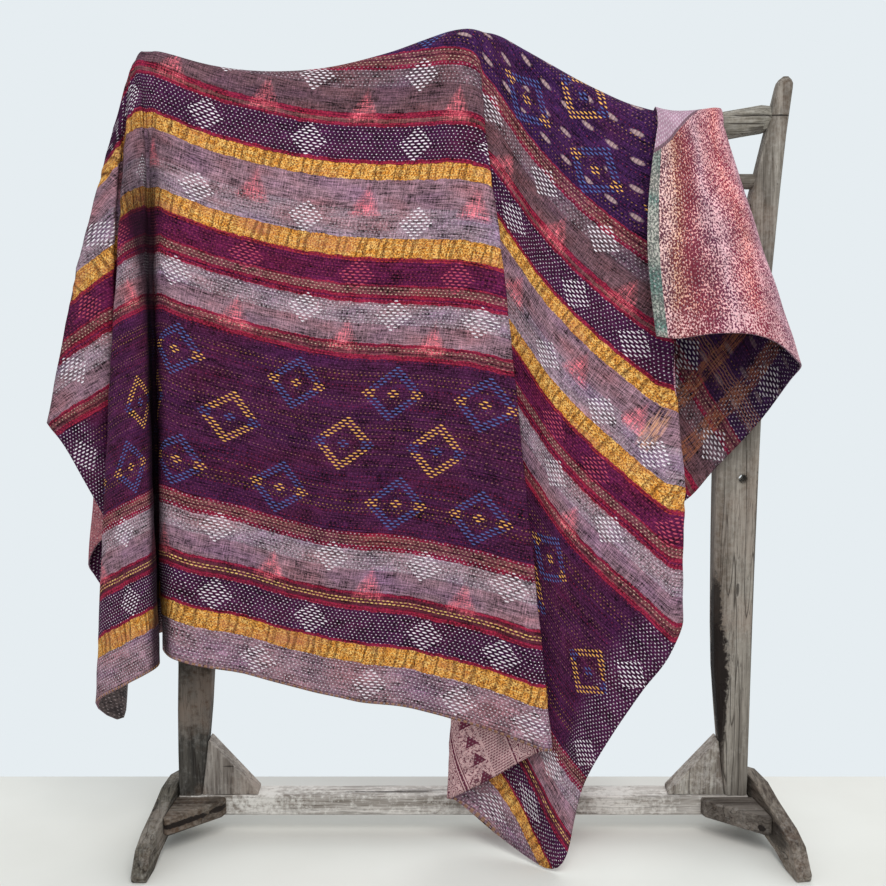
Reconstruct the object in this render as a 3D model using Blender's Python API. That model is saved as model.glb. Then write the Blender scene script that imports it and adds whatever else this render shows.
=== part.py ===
"""A patchwork kantha quilt thrown over a rustic wooden stand.

The stand is two horned posts on splayed feet, joined by a camel-backed crest rail, a thin
lower rail and a low stretcher, with upright gussets and flat corner blocks at its foot.
The quilt is one closed sheet: ribs run from the ridge over the crest rail down to its edge,
in front and behind, and the cloth is drawn through them. Metres, +Z up, front towards -Y.
"""

import math
from collections import namedtuple

import bmesh
import bpy
import numpy as np
from mathutils import Matrix, Vector

# ---- driving sizes of the stand -------------------------------------------------------
GAP = 0.0003  # play between pieces that touch
HOUSING_GAP = 0.0004  # play round the crest rail in a post
POST_FRONT, POST_BACK = -0.030, 0.024  # faces of the posts across the stand
POST_NARROWS = 0.32  # share of that depth lost by the height of the crest rail
STRETCHER_TOP, STRETCHER_HIGH = 0.080, 0.042
STRETCHER_HALF = 0.592  # from the middle to the inner face of a foot
STRETCHER_FRONT, STRETCHER_BACK = -0.032, 0.026
CREST_LOW, CREST_RISE, CREST_HALF_SPAN = 1.461, 0.157, 0.375
CREST_END_RISE = 0.026  # from x 0.45 to each end, 0.15 further out
CREST_DEEP, CREST_EXTRA, CREST_HALF_THICK = 0.055, 0.020, 0.024
CREST_HALF_LONG, CREST_CORNER = 0.604, 0.0235
RAIL_HEIGHT, RAIL_RADIUS, RAIL_HALF_LONG = 1.336, 0.015, 0.585
RAIL_Y = -0.004
FOOT_WIDE, FOOT_REACH = 0.030, 0.268
FOOT_TALL_LEFT, FOOT_TALL_RIGHT = 0.100, 0.112
SPLAY_LEFT, SPLAY_RIGHT = 4.0, 9.0  # degrees that a foot's front turns outwards
BLOCK_REACH, BLOCK_LONG, BLOCK_LOW = 0.106, 0.100, 0.041
GUSSET_TALL, GUSSET_LONG = 0.116, 0.116
LEFT_HORN_EXTRA = 0.0405  # the left horn stands this much higher than the right
PEG_HOLE_RADIUS, PEG_HOLE_X, PEG_HOLE_Z = 0.009, 0.560, 0.748

# ---- driving sizes of the quilt -------------------------------------------------------
THICK = 0.003
ARC_ROWS, ROWS = 3, 14  # rows round the shoulder, and in all from the ridge to an edge
SEAT_RADIUS = 0.030  # of the cloth's mid-surface over the crest rail
LIFT = 0.0024  # of that mid-surface over the top of the crest rail
KNEE_Z = 1.28  # height at which a rib may bend

# The ridge: where the cloth lies on horn and crest rail, by x. u and v are the same spot on
# the flat cloth, along its bands from the left edge and across them from the hem.
RidgePoint = namedtuple("RidgePoint", "x z u v")
RIDGE = (
    RidgePoint(-0.684, 1.435, 0.545, 1.130),
    RidgePoint(-0.665, 1.490, 0.567, 1.160),
    RidgePoint(-0.646, 1.543, 0.600, 1.190),
    RidgePoint(-0.635, 1.571, 0.622, 1.204),
    RidgePoint(-0.627, 1.583, 0.640, 1.213),
    RidgePoint(-0.600, 1.583, 0.672, 1.218),
    RidgePoint(-0.515, 1.561, 0.760, 1.232),
    RidgePoint(-0.379, 1.546, 0.900, 1.254),
    RidgePoint(-0.233, 1.557, 1.045, 1.292),
    RidgePoint(-0.110, 1.593, 1.170, 1.325),
    RidgePoint(0.010, 1.621, 1.300, 1.358),
    RidgePoint(0.050, 1.617, 1.325, 1.366),
    RidgePoint(0.126, 1.580, 1.400, 1.430),
    RidgePoint(0.185, 1.549, 1.465, 1.470),
    RidgePoint(0.263, 1.508, 1.555, 1.510),
    RidgePoint(0.342, 1.478, 1.630, 1.540),
    RidgePoint(0.420, 1.464, 1.700, 1.570),
    RidgePoint(0.497, 1.471, 1.770, 1.585),
)
CREASE_X = 0.497  # where the corner flap's crease crosses the ridge
CLOTH_LONG = 1.79  # of the flat cloth, across its bands
FLAP_LIFT = 0.0065  # ribs raised more than this are in the flap's outer layer
FLAP_U, FLAP_V, FLAP_U_GAIN = 1.77, 1.585, 0.035  # its ridge's flat place, from the crease on

# Ribs in front, from the left side edge round to the flap. seat is the x on the ridge, lift
# how far it is raised there over another layer, lean the way the cloth leaves it (0 front,
# 90 left, 180 back) and hip the radius of its shoulder. knee is its x and y at KNEE_Z, where
# it bends, foot the point on the cloth's edge with its u and v, bow how far the middle
# stands off in x and y, and parts the strips to the next rib.
Rib = namedtuple("Rib", "name seat lift lean hip knee foot u v bow parts")
FRONT = (
    Rib("wing edge", -0.684, 0, 90, .004, (-0.735, 0.020), (-0.848, 0.030, 0.853), 0, 0.73, (-0.006, 0), 2),
    Rib("wing", -0.672, 0, 20, .010, (-0.714, -0.006), (-0.780, -0.020, 0.772), 0, 0.63, (0, 0), 2),
    Rib("wing inner", -0.657, 0, 20, .017, (-0.692, -0.024), (-0.728, -0.026, 0.672), 0, 0.53, (0, 0), 1),
    Rib("inner turn", -0.653, 0, 20, .019, (-0.685, -0.022), (-0.720, -0.010, 0.642), 0, 0.50, (0, 0), 1),
    Rib("curl front", -0.649, 0, 15, .021, (-0.688, -0.010), (-0.762, 0.030, 0.592), 0, 0.44, (0.002, 0), 1),
    Rib("curl", -0.646, 0, 15, .022, (-0.690, 0.000), (-0.782, 0.052, 0.552), 0, 0.41, (0.003, 0), 1),
    Rib("curl back", -0.644, 0, 15, .023, (-0.684, 0.006), (-0.772, 0.074, 0.518), 0, 0.38, (0.002, 0), 1),
    Rib("wing valley", -0.642, 0, 15, .024, (-0.677, 0.002), (-0.730, 0.070, 0.450), 0, 0.29, (0, 0), 1),
    Rib("corner layer", -0.640, 0, 10, .026, (-0.671, -0.013), (-0.698, 0.005, 0.330), 0, 0.10, (0, 0), 1),
    Rib("corner", -0.6385, 0, 10, .027, (-0.668, -0.032), (-0.694, -0.060, 0.260), 0, 0, (0, 0), 1),
    Rib("pleat left", -0.636, 0, 0, .030, (-0.663, -0.05), (-0.728, -0.14, 0.318), 0.07, 0, (-0.004, 0), 2),
    Rib("pleat face", -0.6315, 0, 0, .031, (-0.645, -0.058), (-0.657, -0.185, 0.370), 0.21, 0, (0, 0), 2),
    Rib("pleat right", -0.627, 0, 0, .031, (-0.627, -0.053), (-0.602, -0.150, 0.397), 0.35, 0, (0, 0), 2),
    Rib("pleat side", -0.624, 0, 0, .031, (-0.621, -0.040), (-0.642, 0.000, 0.395), 0.50, 0, (0, 0), 1),
    Rib("valley left", -0.622, 0, 0, .031, (-0.619, -0.032), (-0.644, 0.070, 0.400), 0.63, 0, (0, 0), 1),
    Rib("valley right", -0.619, 0, 0, .031, (-0.613, -0.032), (-0.624, 0.072, 0.400), 0.69, 0, (0, 0), 1),
    Rib("panel side", -0.616, 0, 0, .031, (-0.605, -0.040), (-0.614, -0.030, 0.395), 0.84, 0, (0, 0), 1),
    Rib("panel left", -0.608, 0, 0, .031, (-0.593, -0.051), (-0.585, -0.115, 0.405), 0.93, 0, (0, 0), 2),
    Rib("panel 1", -0.580, 0, 0, .030, None, (-0.526, -0.112, 0.384), 1.00, 0, (0, -0.01), 1),
    Rib("panel 2", -0.495, 0, 0, .030, None, (-0.440, -0.098, 0.365), 1.09, 0, (0, 0), 1),
    Rib("panel 3", -0.395, 0, 0, .030, None, (-0.340, -0.112, 0.342), 1.19, 0, (0, -0.01), 2),
    Rib("panel 4", -0.270, 0, 0, .030, None, (-0.216, -0.130, 0.318), 1.33, 0, (0, -0.01), 2),
    Rib("panel 5", -0.150, 0, 0, .030, None, (-0.110, -0.132, 0.306), 1.44, 0, (0, 0), 2),
    Rib("panel 6", -0.080, .001, 0, .031, None, (-0.020, -0.150, 0.288), 1.53, 0, (0, 0), 2),
    Rib("panel 7", -0.030, .003, 0, .033, None, (0.070, -0.178, 0.268), 1.62, 0, (0, 0), 2),
    Rib("fold front", 0.004, .005, 0, .036, None, (0.150, -0.213, 0.248), 1.70, 0, (0.006, 0), 2),
    Rib("fold nose", 0.016, .004, 0, .036, None, (0.168, -0.203, 0.243), 1.73, 0, (0.006, 0), 1),
    Rib("fold back", 0.022, .003, 0, .034, None, (0.145, -0.190, 0.236), 1.76, 0, (0.006, 0), 2),
    Rib("under fold", 0.028, .002, 0, .033, None, (0.060, -0.152, 0.170), 1.87, 0, (0, 0), 2),
    Rib("tuck front", 0.033, .001, 0, .031, None, (-0.022, -0.110, 0.110), 1.97, 0, (0, 0), 1),
    Rib("tuck nose", 0.038, 0, 0, .030, None, (-0.034, -0.093, 0.100), 2.00, 0, (0, 0), 1),
    Rib("tuck back", 0.044, 0, 0, .030, None, (-0.018, -0.080, 0.092), 2.02, 0, (0, 0), 2),
    Rib("tail 1", 0.054, 0, 0, .030, None, (0.073, -0.125, 0.033), 2.12, 0, (0, 0), 2),
    Rib("tail tip", 0.075, 0, 0, .030, None, (0.173, -0.215, 0.016), 2.24, 0.14, (0.010, 0.028), 2),
    Rib("tail 2", 0.110, 0, 0, .030, None, (0.231, -0.170, 0.152), 2.24, 0.32, (0.010, 0), 2),
    Rib("tail 3", 0.160, 0, 0, .030, None, (0.284, -0.170, 0.255), 2.24, 0.45, (0.010, 0), 1),
    Rib("tail 4", 0.230, 0, 0, .030, None, (0.345, -0.165, 0.348), 2.24, 0.57, (0.012, 0), 2),
    Rib("tail 5", 0.310, 0, 0, .030, None, (0.404, -0.150, 0.425), 2.24, 0.68, (0.016, 0), 2),
    Rib("side nose", 0.350, 0, 0, .030, None, (0.427, -0.128, 0.490), 2.24, 0.74, (0.024, 0), 2),
    Rib("side back", 0.366, 0, 0, .030, None, (0.398, -0.098, 0.530), 2.24, 0.80, (0.012, 0), 2),
    Rib("side tuck", 0.388, 0, 0, .030, None, (0.296, -0.068, 0.650), 2.24, 0.95, (0, 0), 1),
    Rib("side turn", 0.393, 0, 0, .030, None, (0.288, -0.058, 0.662), 2.24, 0.97, (0, 0), 1),
    Rib("side under", 0.398, 0, 0, .030, None, (0.300, -0.050, 0.672), 2.24, 0.99, (0, 0), 1),
    Rib("lower side", 0.411, 0, 0, .030, None, (0.432, -0.050, 0.702), 2.24, 1.13, (0, 0), 2),
    Rib("lower mid", 0.430, 0, 0, .030, None, (0.500, -0.056, 0.776), 2.24, 1.23, (0, 0), 1),
    Rib("lower right", 0.465, 0, 0, .030, None, (0.582, -0.070, 0.872), 2.24, 1.35, (0, 0), 1),
    Rib("lower end", 0.488, 0, 0, .030, None, (0.632, -0.095, 0.955), 2.24, 1.45, (-0.002, 0), 2),
    Rib("crease", 0.498, .0035, 0, .034, None, (0.644, -0.125, 0.983), 2.24, 1.50, (-0.002, 0), 2),
    Rib("flap right", 0.488, .007, 0, .037, None, (0.625, -0.160, 1.000), 2.24, 1.54, (0.000, -0.01), 1),
    Rib("flap 1", 0.468, .007, 0, .037, None, (0.580, -0.188, 1.034), 2.24, 1.59, (0.004, -0.01), 1),
    Rib("flap 2", 0.440, .007, 0, .037, None, (0.532, -0.195, 1.050), 2.24, 1.64, (0, -0.01), 1),
    Rib("flap 3", 0.410, .007, 0, .037, None, (0.462, -0.182, 1.050), 2.24, 1.70, (0, 0), 2),
    Rib("flap 4", 0.385, .007, 0, .037, None, (0.397, -0.168, 1.040), 2.24, 1.76, (-0.010, 0), 1),
    Rib("flap left", 0.371, .008, 0, .038, None, (0.359, -0.162, 1.044), 2.24, 1.79, (-0.018, 0), 0),
)

# Ribs behind, with the same columns. The first meets the wing's edge in front; those of the
# flap's outer layer run from its crease to its free edge.
BACK = (
    Rib("wing edge", -0.684, 0, 90, .004, (-0.735, 0.020), (-0.848, 0.030, 0.853), 0, 0.73, (-0.006, 0), 0),
    Rib("wing hollow", -0.670, 0, 160, .012, (-0.722, 0.046), (-0.775, 0.105, 0.840), 0, 0.98, (0, 0), 0),
    Rib("wing back", -0.659, 0, 165, .018, (-0.706, 0.062), (-0.802, 0.178, 0.802), 0, 1.19, (0, 0), 0),
    Rib("back turn", -0.653, 0, 165, .022, (-0.692, 0.066), (-0.784, 0.206, 0.785), 0, 1.26, (0, 0), 0),
    Rib("corner hollow", -0.646, 0, 170, .025, (-0.676, 0.056), (-0.728, 0.160, 0.790), 0, 1.48, (0, 0), 0),
    Rib("far corner", -0.6365, 0, 175, .030, (-0.656, 0.066), (-0.715, 0.235, 0.720), 0, 1.79, (0, 0), 0),
    Rib("hem hollow", -0.627, 0, 180, .031, (-0.635, 0.056), (-0.640, 0.140, 0.830), 0.24, 1.79, (0, 0), 0),
    Rib("hem fold", -0.608, 0, 180, .031, (-0.600, 0.060), (-0.590, 0.190, 0.920), 0.42, 1.79, (0, 0), 0),
    Rib("hem 1", -0.580, 0, 180, .030, None, (-0.520, 0.120, 0.965), 0.52, 1.79, (0, 0), 0),
    Rib("hem 2", -0.395, 0, 180, .030, None, (-0.340, 0.150, 0.990), 0.76, 1.79, (0, 0), 0),
    Rib("hem 3", -0.150, 0, 180, .030, None, (-0.130, 0.105, 1.080), 1.02, 1.79, (0, 0), 0),
    Rib("hem 4", 0.004, .005, 180, .036, None, (0.000, 0.120, 1.160), 1.18, 1.79, (0, 0), 0),
    Rib("hem 5", 0.044, 0, 180, .030, None, (0.035, 0.120, 1.175), 1.21, 1.79, (0, 0), 0),
    Rib("hem 6", 0.230, 0, 180, .030, None, (0.150, 0.085, 1.195), 1.32, 1.79, (0, 0), 0),
    Rib("hem 7", 0.352, 0, 180, .030, None, (0.235, 0.090, 1.180), 1.40, 1.79, (0, 0), 0),
    Rib("hem 8", 0.488, 0, 180, .030, None, (0.302, 0.060, 1.150), 1.455, 1.79, (0, 0), 0),
    Rib("crease", 0.498, .0035, 180, .034, None, (0.338, 0.080, 1.136), 1.47, 1.79, (0, 0), 0),
)
FLAP_BACK = (
    Rib("crease", 0.498, .0035, 180, .034, None, (0.338, 0.080, 1.136), 1.47, 1.79, (0, 0), 0),
    Rib("turned", 0.488, .007, 180, .037, None, (0.334, 0.100, 1.160), 1.50, 1.79, (0, 0), 0),
    Rib("edge 1", 0.468, .007, 180, .037, None, (0.346, 0.098, 1.205), 1.54, 1.79, (0, 0), 0),
    Rib("edge 2", 0.440, .007, 180, .037, None, (0.362, 0.086, 1.280), 1.62, 1.79, (0, 0), 0),
    Rib("edge 3", 0.410, .007, 180, .037, None, (0.370, 0.068, 1.370), 1.71, 1.79, (0, 0), 0),
    Rib("edge 4", 0.371, .008, 180, .038, None, (0.366, 0.050, 1.430), 1.77, 1.79, (0, 0), 0),
)


# ---- curves through a table -------------------------------------------------------------
def smooth(knots, values, at):
    """Cubic through (knots, values) with no overshoot, read at the places given."""
    knots = np.asarray(knots, float)
    values = np.asarray(values, float)
    at = np.clip(np.asarray(at, float), knots[0], knots[-1])
    step = np.diff(knots)
    slope = np.diff(values) / step
    tangent = np.empty_like(values)
    tangent[0], tangent[-1] = slope[0], slope[-1]
    same = slope[:-1] * slope[1:] > 0
    mean = 2 * slope[:-1] * slope[1:] / np.where(same, slope[:-1] + slope[1:], 1)
    tangent[1:-1] = np.where(same, mean, 0)
    i = np.clip(np.searchsorted(knots, at, side="right") - 1, 0, len(step) - 1)
    t = (at - knots[i]) / step[i]
    return (
        values[i] * (1 + 2 * t) * (1 - t) ** 2
        + values[i + 1] * t * t * (3 - 2 * t)
        + tangent[i] * step[i] * t * (1 - t) ** 2
        + tangent[i + 1] * step[i] * t * t * (t - 1)
    )


def ridge_at(x):
    """z, u and v on the ridge at x: tented between its points, or lying on the crest rail."""
    xs = [p.x for p in RIDGE]
    z, u, v = [float(smooth(xs, [getattr(p, k) for p in RIDGE], x)) for k in ("z", "u", "v")]
    if abs(x) < 0.55:
        z = max(z, crest_top(x) + LIFT)
    return z, u, v


def drawn(points, parts):
    """The rows of points with parts[i] steps from row i to the next, on a rounded curve."""
    points = np.asarray(points, float)
    ends = np.vstack([2 * points[0] - points[1], points, 2 * points[-1] - points[-2]])
    out = []
    for i, count in enumerate(parts[: len(points) - 1]):
        a, b, c, d = ends[i : i + 4]
        before = np.linalg.norm(b - a) ** 0.5
        here = np.linalg.norm(c - b) ** 0.5
        after = np.linalg.norm(d - c) ** 0.5
        first = (b - a) / before - (c - a) / (before + here) + (c - b) / here
        last = (c - b) / here - (d - b) / (here + after) + (d - c) / after
        for k in range(count):
            t = k / count
            out.append(
                b * (1 + 2 * t) * (1 - t) ** 2
                + c * t * t * (3 - 2 * t)
                + first * here * t * (1 - t) ** 2
                + last * here * t * t * (t - 1)
            )
    out.append(points[-1])
    return np.array(out)


# ---- the quilt --------------------------------------------------------------------------
def rib_row(rib):
    """One rib as a row of numbers: seat, u and v, shoulder, knee, foot, u and v, bow."""
    z, u, v = ridge_at(rib.seat)
    if rib.lift > FLAP_LIFT:
        along = (CREASE_X - rib.seat) / (CREASE_X - FRONT[-1].seat)
        u = FLAP_U + FLAP_U_GAIN * along
        v = FLAP_V + (CLOTH_LONG - FLAP_V) * along
    way = math.radians(rib.lean)
    z += rib.lift
    hip = np.array((rib.seat - rib.hip * math.sin(way), -rib.hip * math.cos(way), z - rib.hip))
    foot = np.array(rib.foot)
    if rib.knee:
        knee = np.array((*rib.knee, KNEE_Z))
    else:
        knee = hip + (foot - hip) / 2
    return np.array([rib.seat, z, u, v, way, rib.hip, *knee, *foot, rib.u, rib.v, *rib.bow])


def front_table():
    """Every front rib, drawn out to its strips."""
    return drawn([rib_row(rib) for rib in FRONT], [rib.parts for rib in FRONT])


def back_table(front):
    """The rib behind for each front rib, with the same seat."""
    crease = int(np.argmax(front[:, 0]))
    out = []
    for side, table in ((slice(0, crease), BACK), (slice(crease, None), FLAP_BACK)):
        rows = sorted([rib_row(rib) for rib in table], key=lambda row: row[0])
        rows = np.array(rows)
        seats = rows[:, 0]
        for row in front[side]:
            shape = [float(smooth(seats, rows[:, k], row[0])) for k in range(4, rows.shape[1])]
            out.append(np.array([*row[:4], *shape]))
    for row in out:
        if row[0] > -0.6:
            row[5] = max(row[5], SEAT_RADIUS + row[1] - ridge_at(row[0])[0])
    return np.vstack(out)


def rib_points(row):
    """Points from the seat over a round shoulder, by the knee, to the foot, with u and v."""
    seat_x, seat_z, seat_u, seat_v, way, radius = row[:6]
    knee, foot = Vector(row[6:9]), Vector(row[9:12])
    u, v, bow_x, bow_y = row[12:]
    out = Vector((-math.sin(way), -math.cos(way), 0))
    down = Vector((0, 0, -radius))
    seat = Vector((seat_x, 0, seat_z))
    hip = seat + out * radius + down
    arc = radius * math.pi / 2
    upper = (knee - hip).length
    length = upper + (foot - knee).length
    points = []
    for k in range(ROWS + 1):
        if k <= ARC_ROWS:
            gone = arc * k / ARC_ROWS
            turn = gone / radius
            p = seat + out * radius * math.sin(turn) + down * (1 - math.cos(turn))
        else:
            t = ((k - ARC_ROWS) / (ROWS - ARC_ROWS)) ** 1.15
            gone = arc + t * length
            spots = [0, upper, length]
            p = Vector([
                float(smooth(spots, [hip[i], knee[i], foot[i]], t * length)) for i in range(3)
            ])
            p += Vector((bow_x, bow_y, 0)) * math.sin(math.pi * t)
        share = gone / (arc + length)
        points.append((*p, seat_u + (u - seat_u) * share, seat_v + (v - seat_v) * share))
    return points


def sheet_mesh():
    """The quilt's mid-surface: the front ribs and the ribs behind, sharing ridge and wing."""
    front = front_table()
    back = back_table(front)
    bm = bmesh.new()
    flat = bm.loops.layers.uv.new("flat")  # each spot's place on the flat cloth, in metres
    for table, flip in ((front, False), (back, True)):
        grid = []
        for row in table:
            grid.append([(bm.verts.new(p[:3]), p[3:]) for p in rib_points(row)])
        for left, right in zip(grid, grid[1:]):
            for k in range(ROWS):
                corners = [left[k], left[k + 1], right[k + 1], right[k]]
                corners = corners[::-1] if flip else corners
                face = bm.faces.new([vert for vert, _ in corners])
                for loop, (_, place) in zip(face.loops, corners):
                    loop[flat].uv = place
    bmesh.ops.remove_doubles(bm, verts=bm.verts, dist=1e-5)
    bmesh.ops.recalc_face_normals(bm, faces=bm.faces)
    mesh = bpy.data.meshes.new("quilt")
    bm.to_mesh(mesh)
    bm.free()
    return mesh


def build_quilt():
    quilt = add_object("quilt", sheet_mesh(), material("quilt", (0.145, 0.05, 0.13), 0.9))
    solid = quilt.modifiers.new("thickness", "SOLIDIFY")
    solid.thickness = THICK
    solid.offset = 0
    solid.use_even_offset = False
    quilt.data.shade_smooth()
    return quilt


# ---- helpers ------------------------------------------------------------------------------
def material(name, colour, roughness):
    made = bpy.data.materials.new(name)
    made.use_nodes = True
    shader = made.node_tree.nodes["Principled BSDF"]
    shader.inputs["Base Color"].default_value = (*colour, 1)
    shader.inputs["Roughness"].default_value = roughness
    shader.inputs["Metallic"].default_value = 0.0
    return made


def add_object(name, mesh, look):
    made = bpy.data.objects.new(name, mesh)
    bpy.context.scene.collection.objects.link(made)
    mesh.materials.append(look)
    return made


def plate(name, outline, low, high, axes="xz"):
    """A closed solid: an outline in the named axes, pushed from low to high along the third."""
    third = ({0, 1, 2} - {"xyz".index(a) for a in axes}).pop()
    bm = bmesh.new()
    verts = []
    for p in outline:
        place = [0, 0, 0]
        place["xyz".index(axes[0])] = p[0]
        place["xyz".index(axes[1])] = p[1]
        place[third] = low
        verts.append(bm.verts.new(place))
    face = bm.faces.new(verts)
    pushed = bmesh.ops.extrude_face_region(bm, geom=[face])
    way = [0, 0, 0]
    way[third] = high - low
    bmesh.ops.translate(
        bm, verts=[g for g in pushed["geom"] if isinstance(g, bmesh.types.BMVert)], vec=way
    )
    bmesh.ops.recalc_face_normals(bm, faces=bm.faces)
    mesh = bpy.data.meshes.new(name)
    bm.to_mesh(mesh)
    bm.free()
    return mesh


def round_edges(piece, width, segments=2, angle=35):
    bevel = piece.modifiers.new("worn edges", "BEVEL")
    bevel.width = width
    bevel.segments = segments
    bevel.limit_method = "ANGLE"
    bevel.angle_limit = math.radians(angle)
    piece.data.shade_smooth()
    piece.data.set_sharp_from_angle(angle=math.radians(40))


def cut(piece, cutter):
    cutter.hide_render = True
    cutter.display_type = "WIRE"
    boolean = piece.modifiers.new("cut", "BOOLEAN")
    boolean.operation = "DIFFERENCE"
    boolean.solver = "EXACT"
    boolean.object = cutter


def rod(name, radius, length, centre, axis, sides=24):
    """A cylinder about the x or y axis."""
    bm = bmesh.new()
    bmesh.ops.create_cone(
        bm, cap_ends=True, segments=sides, radius1=radius, radius2=radius, depth=length
    )
    turn = Matrix.Rotation(math.radians(90), 4, "Y" if axis == "x" else "X")
    bmesh.ops.transform(bm, matrix=Matrix.Translation(centre) @ turn, verts=bm.verts)
    mesh = bpy.data.meshes.new(name)
    bm.to_mesh(mesh)
    bm.free()
    return mesh


# ---- the stand ------------------------------------------------------------------------------
# A post by height: how far its inner and outer sides are from the middle of the stand.
PostLevel = namedtuple("PostLevel", "z inner outer")
POST_LEFT = (
    PostLevel(0.080, 0.544, 0.5915),
    PostLevel(0.215, 0.527, 0.591),
    PostLevel(0.367, 0.515, 0.586),
    PostLevel(0.827, 0.502, 0.590),
    PostLevel(1.100, 0.512, 0.599),
    PostLevel(1.323, 0.548, 0.609),
    PostLevel(1.450, 0.579, 0.622),
    PostLevel(1.537, 0.600, 0.631),
)
POST_RIGHT = (
    PostLevel(0.080, 0.543, 0.590),
    PostLevel(0.215, 0.527, 0.590),
    PostLevel(0.414, 0.511, 0.590),
    PostLevel(0.827, 0.505, 0.593),
    PostLevel(1.100, 0.522, 0.602),
    PostLevel(1.323, 0.563, 0.617),
    PostLevel(1.450, 0.590, 0.628),
    PostLevel(1.537, 0.609, 0.638),
)


def crest_top(x):
    """Height of the crest rail's top: a raised middle, with ends that rise a little again."""
    middle = math.cos(math.pi / 2 * min(abs(x) / CREST_HALF_SPAN, 1)) ** 2
    end = max(abs(x) - 0.45, 0) / 0.15
    return CREST_LOW + CREST_RISE * middle + CREST_END_RISE * end


def rounded(half_a, half_b, radius):
    """Corners of a rounded rectangle about the middle, three points to a corner."""
    out = []
    for turn, (a, b) in enumerate(((1, 1), (-1, 1), (-1, -1), (1, -1))):
        for part in (0, 0.5, 1):
            angle = math.pi / 2 * (turn + part)
            across = a * (half_a - radius) + radius * math.cos(angle)
            along = b * (half_b - radius) + radius * math.sin(angle)
            out.append((across, along))
    return out


def loft(name, sections):
    """A closed solid through sections with the same number of points."""
    bm = bmesh.new()
    rings = [[bm.verts.new(p) for p in section] for section in sections]
    for ring, after in zip(rings, rings[1:]):
        for i in range(len(ring)):
            j = (i + 1) % len(ring)
            bm.faces.new((ring[i], ring[j], after[j], after[i]))
    bm.faces.new(rings[0][::-1])
    bm.faces.new(rings[-1])
    bmesh.ops.recalc_face_normals(bm, faces=bm.faces)
    mesh = bpy.data.meshes.new(name)
    bm.to_mesh(mesh)
    bm.free()
    return mesh


def crest_tall(x):
    """Depth of the crest rail's board, a little more at its raised middle."""
    return CREST_DEEP + CREST_EXTRA * max(crest_top(x) - CREST_LOW - 0.02, 0) / CREST_RISE


def post_side(side, name, z):
    """Distance of a post's inner or outer side from the middle of the stand, at a height."""
    table = POST_RIGHT if side > 0 else POST_LEFT
    return float(smooth([p.z for p in table], [getattr(p, name) for p in table], z))


def build_post(side):
    """side is 1 on the right and -1 on the left, where the horn is higher."""
    extra = LEFT_HORN_EXTRA if side < 0 else 0
    bottom, top = POST_LEFT[0].z + GAP, POST_LEFT[-1].z + extra
    heights = list(np.linspace(bottom, top - 0.022, 17))
    heights += [top - 0.013, top - 0.006, top - 0.002, top]
    sections = []
    for z in heights:
        inner, outer = post_side(side, "inner", z), post_side(side, "outer", z)
        tip = max(0, 1 - (top - z) / 0.018)
        shrink = math.sqrt(max(1 - tip * tip, 0.12))
        narrow = 1 - POST_NARROWS * min(max((z - 1.2) / 0.25, 0), 1)
        half_x = (outer - inner) / 2 * shrink
        half_y = (POST_BACK - POST_FRONT) / 2 * narrow * shrink
        middle = (POST_BACK + POST_FRONT) / 2
        ring = rounded(half_x, half_y, min(0.007, 0.6 * min(half_x, half_y)))
        sections.append([(side * (inner + outer) / 2 + a, middle + b, z) for a, b in ring])
    name = "post_right" if side > 0 else "post_left"
    look = material(name, (0.235, 0.205, 0.178) if side > 0 else (0.17, 0.148, 0.13), 0.85)
    mesh = loft(name, sections)
    post = add_object(name, mesh, look)
    mesh.shade_smooth()
    mesh.set_sharp_from_angle(angle=math.radians(50))
    return post


def crest_loft(name, grow=0):
    """The crest rail's rounded board; grow makes it that much larger all round."""
    half = CREST_HALF_LONG + grow
    sections = []
    for x in np.linspace(-half, half, 49):
        tall = crest_tall(x)
        size = 0.75 + 0.25 * min(1, (half - abs(x)) / 0.006)  # its ends are worn round
        middle = crest_top(x) - tall / 2
        half_thick, half_tall = CREST_HALF_THICK * size + grow, tall / 2 * size + grow
        ring = rounded(half_thick, half_tall, CREST_CORNER * size + grow)
        sections.append([(x, a, middle + b) for a, b in ring])
    return loft(name, sections)


def build_crest():
    mesh = crest_loft("crest_rail")
    rail = add_object("crest_rail", mesh, material("crest rail", (0.22, 0.195, 0.165), 0.85))
    mesh.shade_smooth()
    mesh.set_sharp_from_angle(angle=math.radians(60))
    return rail


def crest_cutter():
    """The housing that each post has for the crest rail, a hair larger than the rail."""
    look = material("cutter", (0.5, 0.5, 0.5), 0.5)
    return add_object("crest_cutter", crest_loft("crest_cutter", HOUSING_GAP), look)


def foot_outline(tall):
    """Side view (y, z) of a foot: a beam that slopes to a chamfered toe at either end."""
    front = [
        (-0.035, tall),
        (-0.100, 0.84 * tall),
        (-0.190, 0.68 * tall),
        (-0.234, 0.52 * tall),
        (-FOOT_REACH, 0.12 * tall),
        (-FOOT_REACH + 0.004, 0.0),
        (-0.210, 0.0),
        (-0.160, 0.014),
        (-0.080, 0.024),
    ]
    return front + [(-y, z) for y, z in front[::-1]]


def foot_inside(side, y):
    """Distance of a foot's inner face from the middle of the stand, at this y."""
    tilt = math.tan(math.radians(SPLAY_RIGHT if side > 0 else SPLAY_LEFT))
    return STRETCHER_HALF + (STRETCHER_BACK - y) * tilt + GAP


def build_foot(side):
    name = "foot_right" if side > 0 else "foot_left"
    tall = FOOT_TALL_RIGHT if side > 0 else FOOT_TALL_LEFT
    mesh = plate(name, foot_outline(tall), 0, FOOT_WIDE, axes="yz")
    foot = add_object(name, mesh, material(name, (0.21, 0.185, 0.155), 0.9))
    if side < 0:
        mesh.transform(Matrix.Translation((-FOOT_WIDE, 0, 0)))
    turn = Matrix.Rotation(side * math.radians(SPLAY_RIGHT if side > 0 else SPLAY_LEFT), 4, "Z")
    mesh.transform(Matrix.Translation((side * foot_inside(side, 0), 0, 0)) @ turn)
    round_edges(foot, 0.002, segments=1)
    return foot


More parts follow.
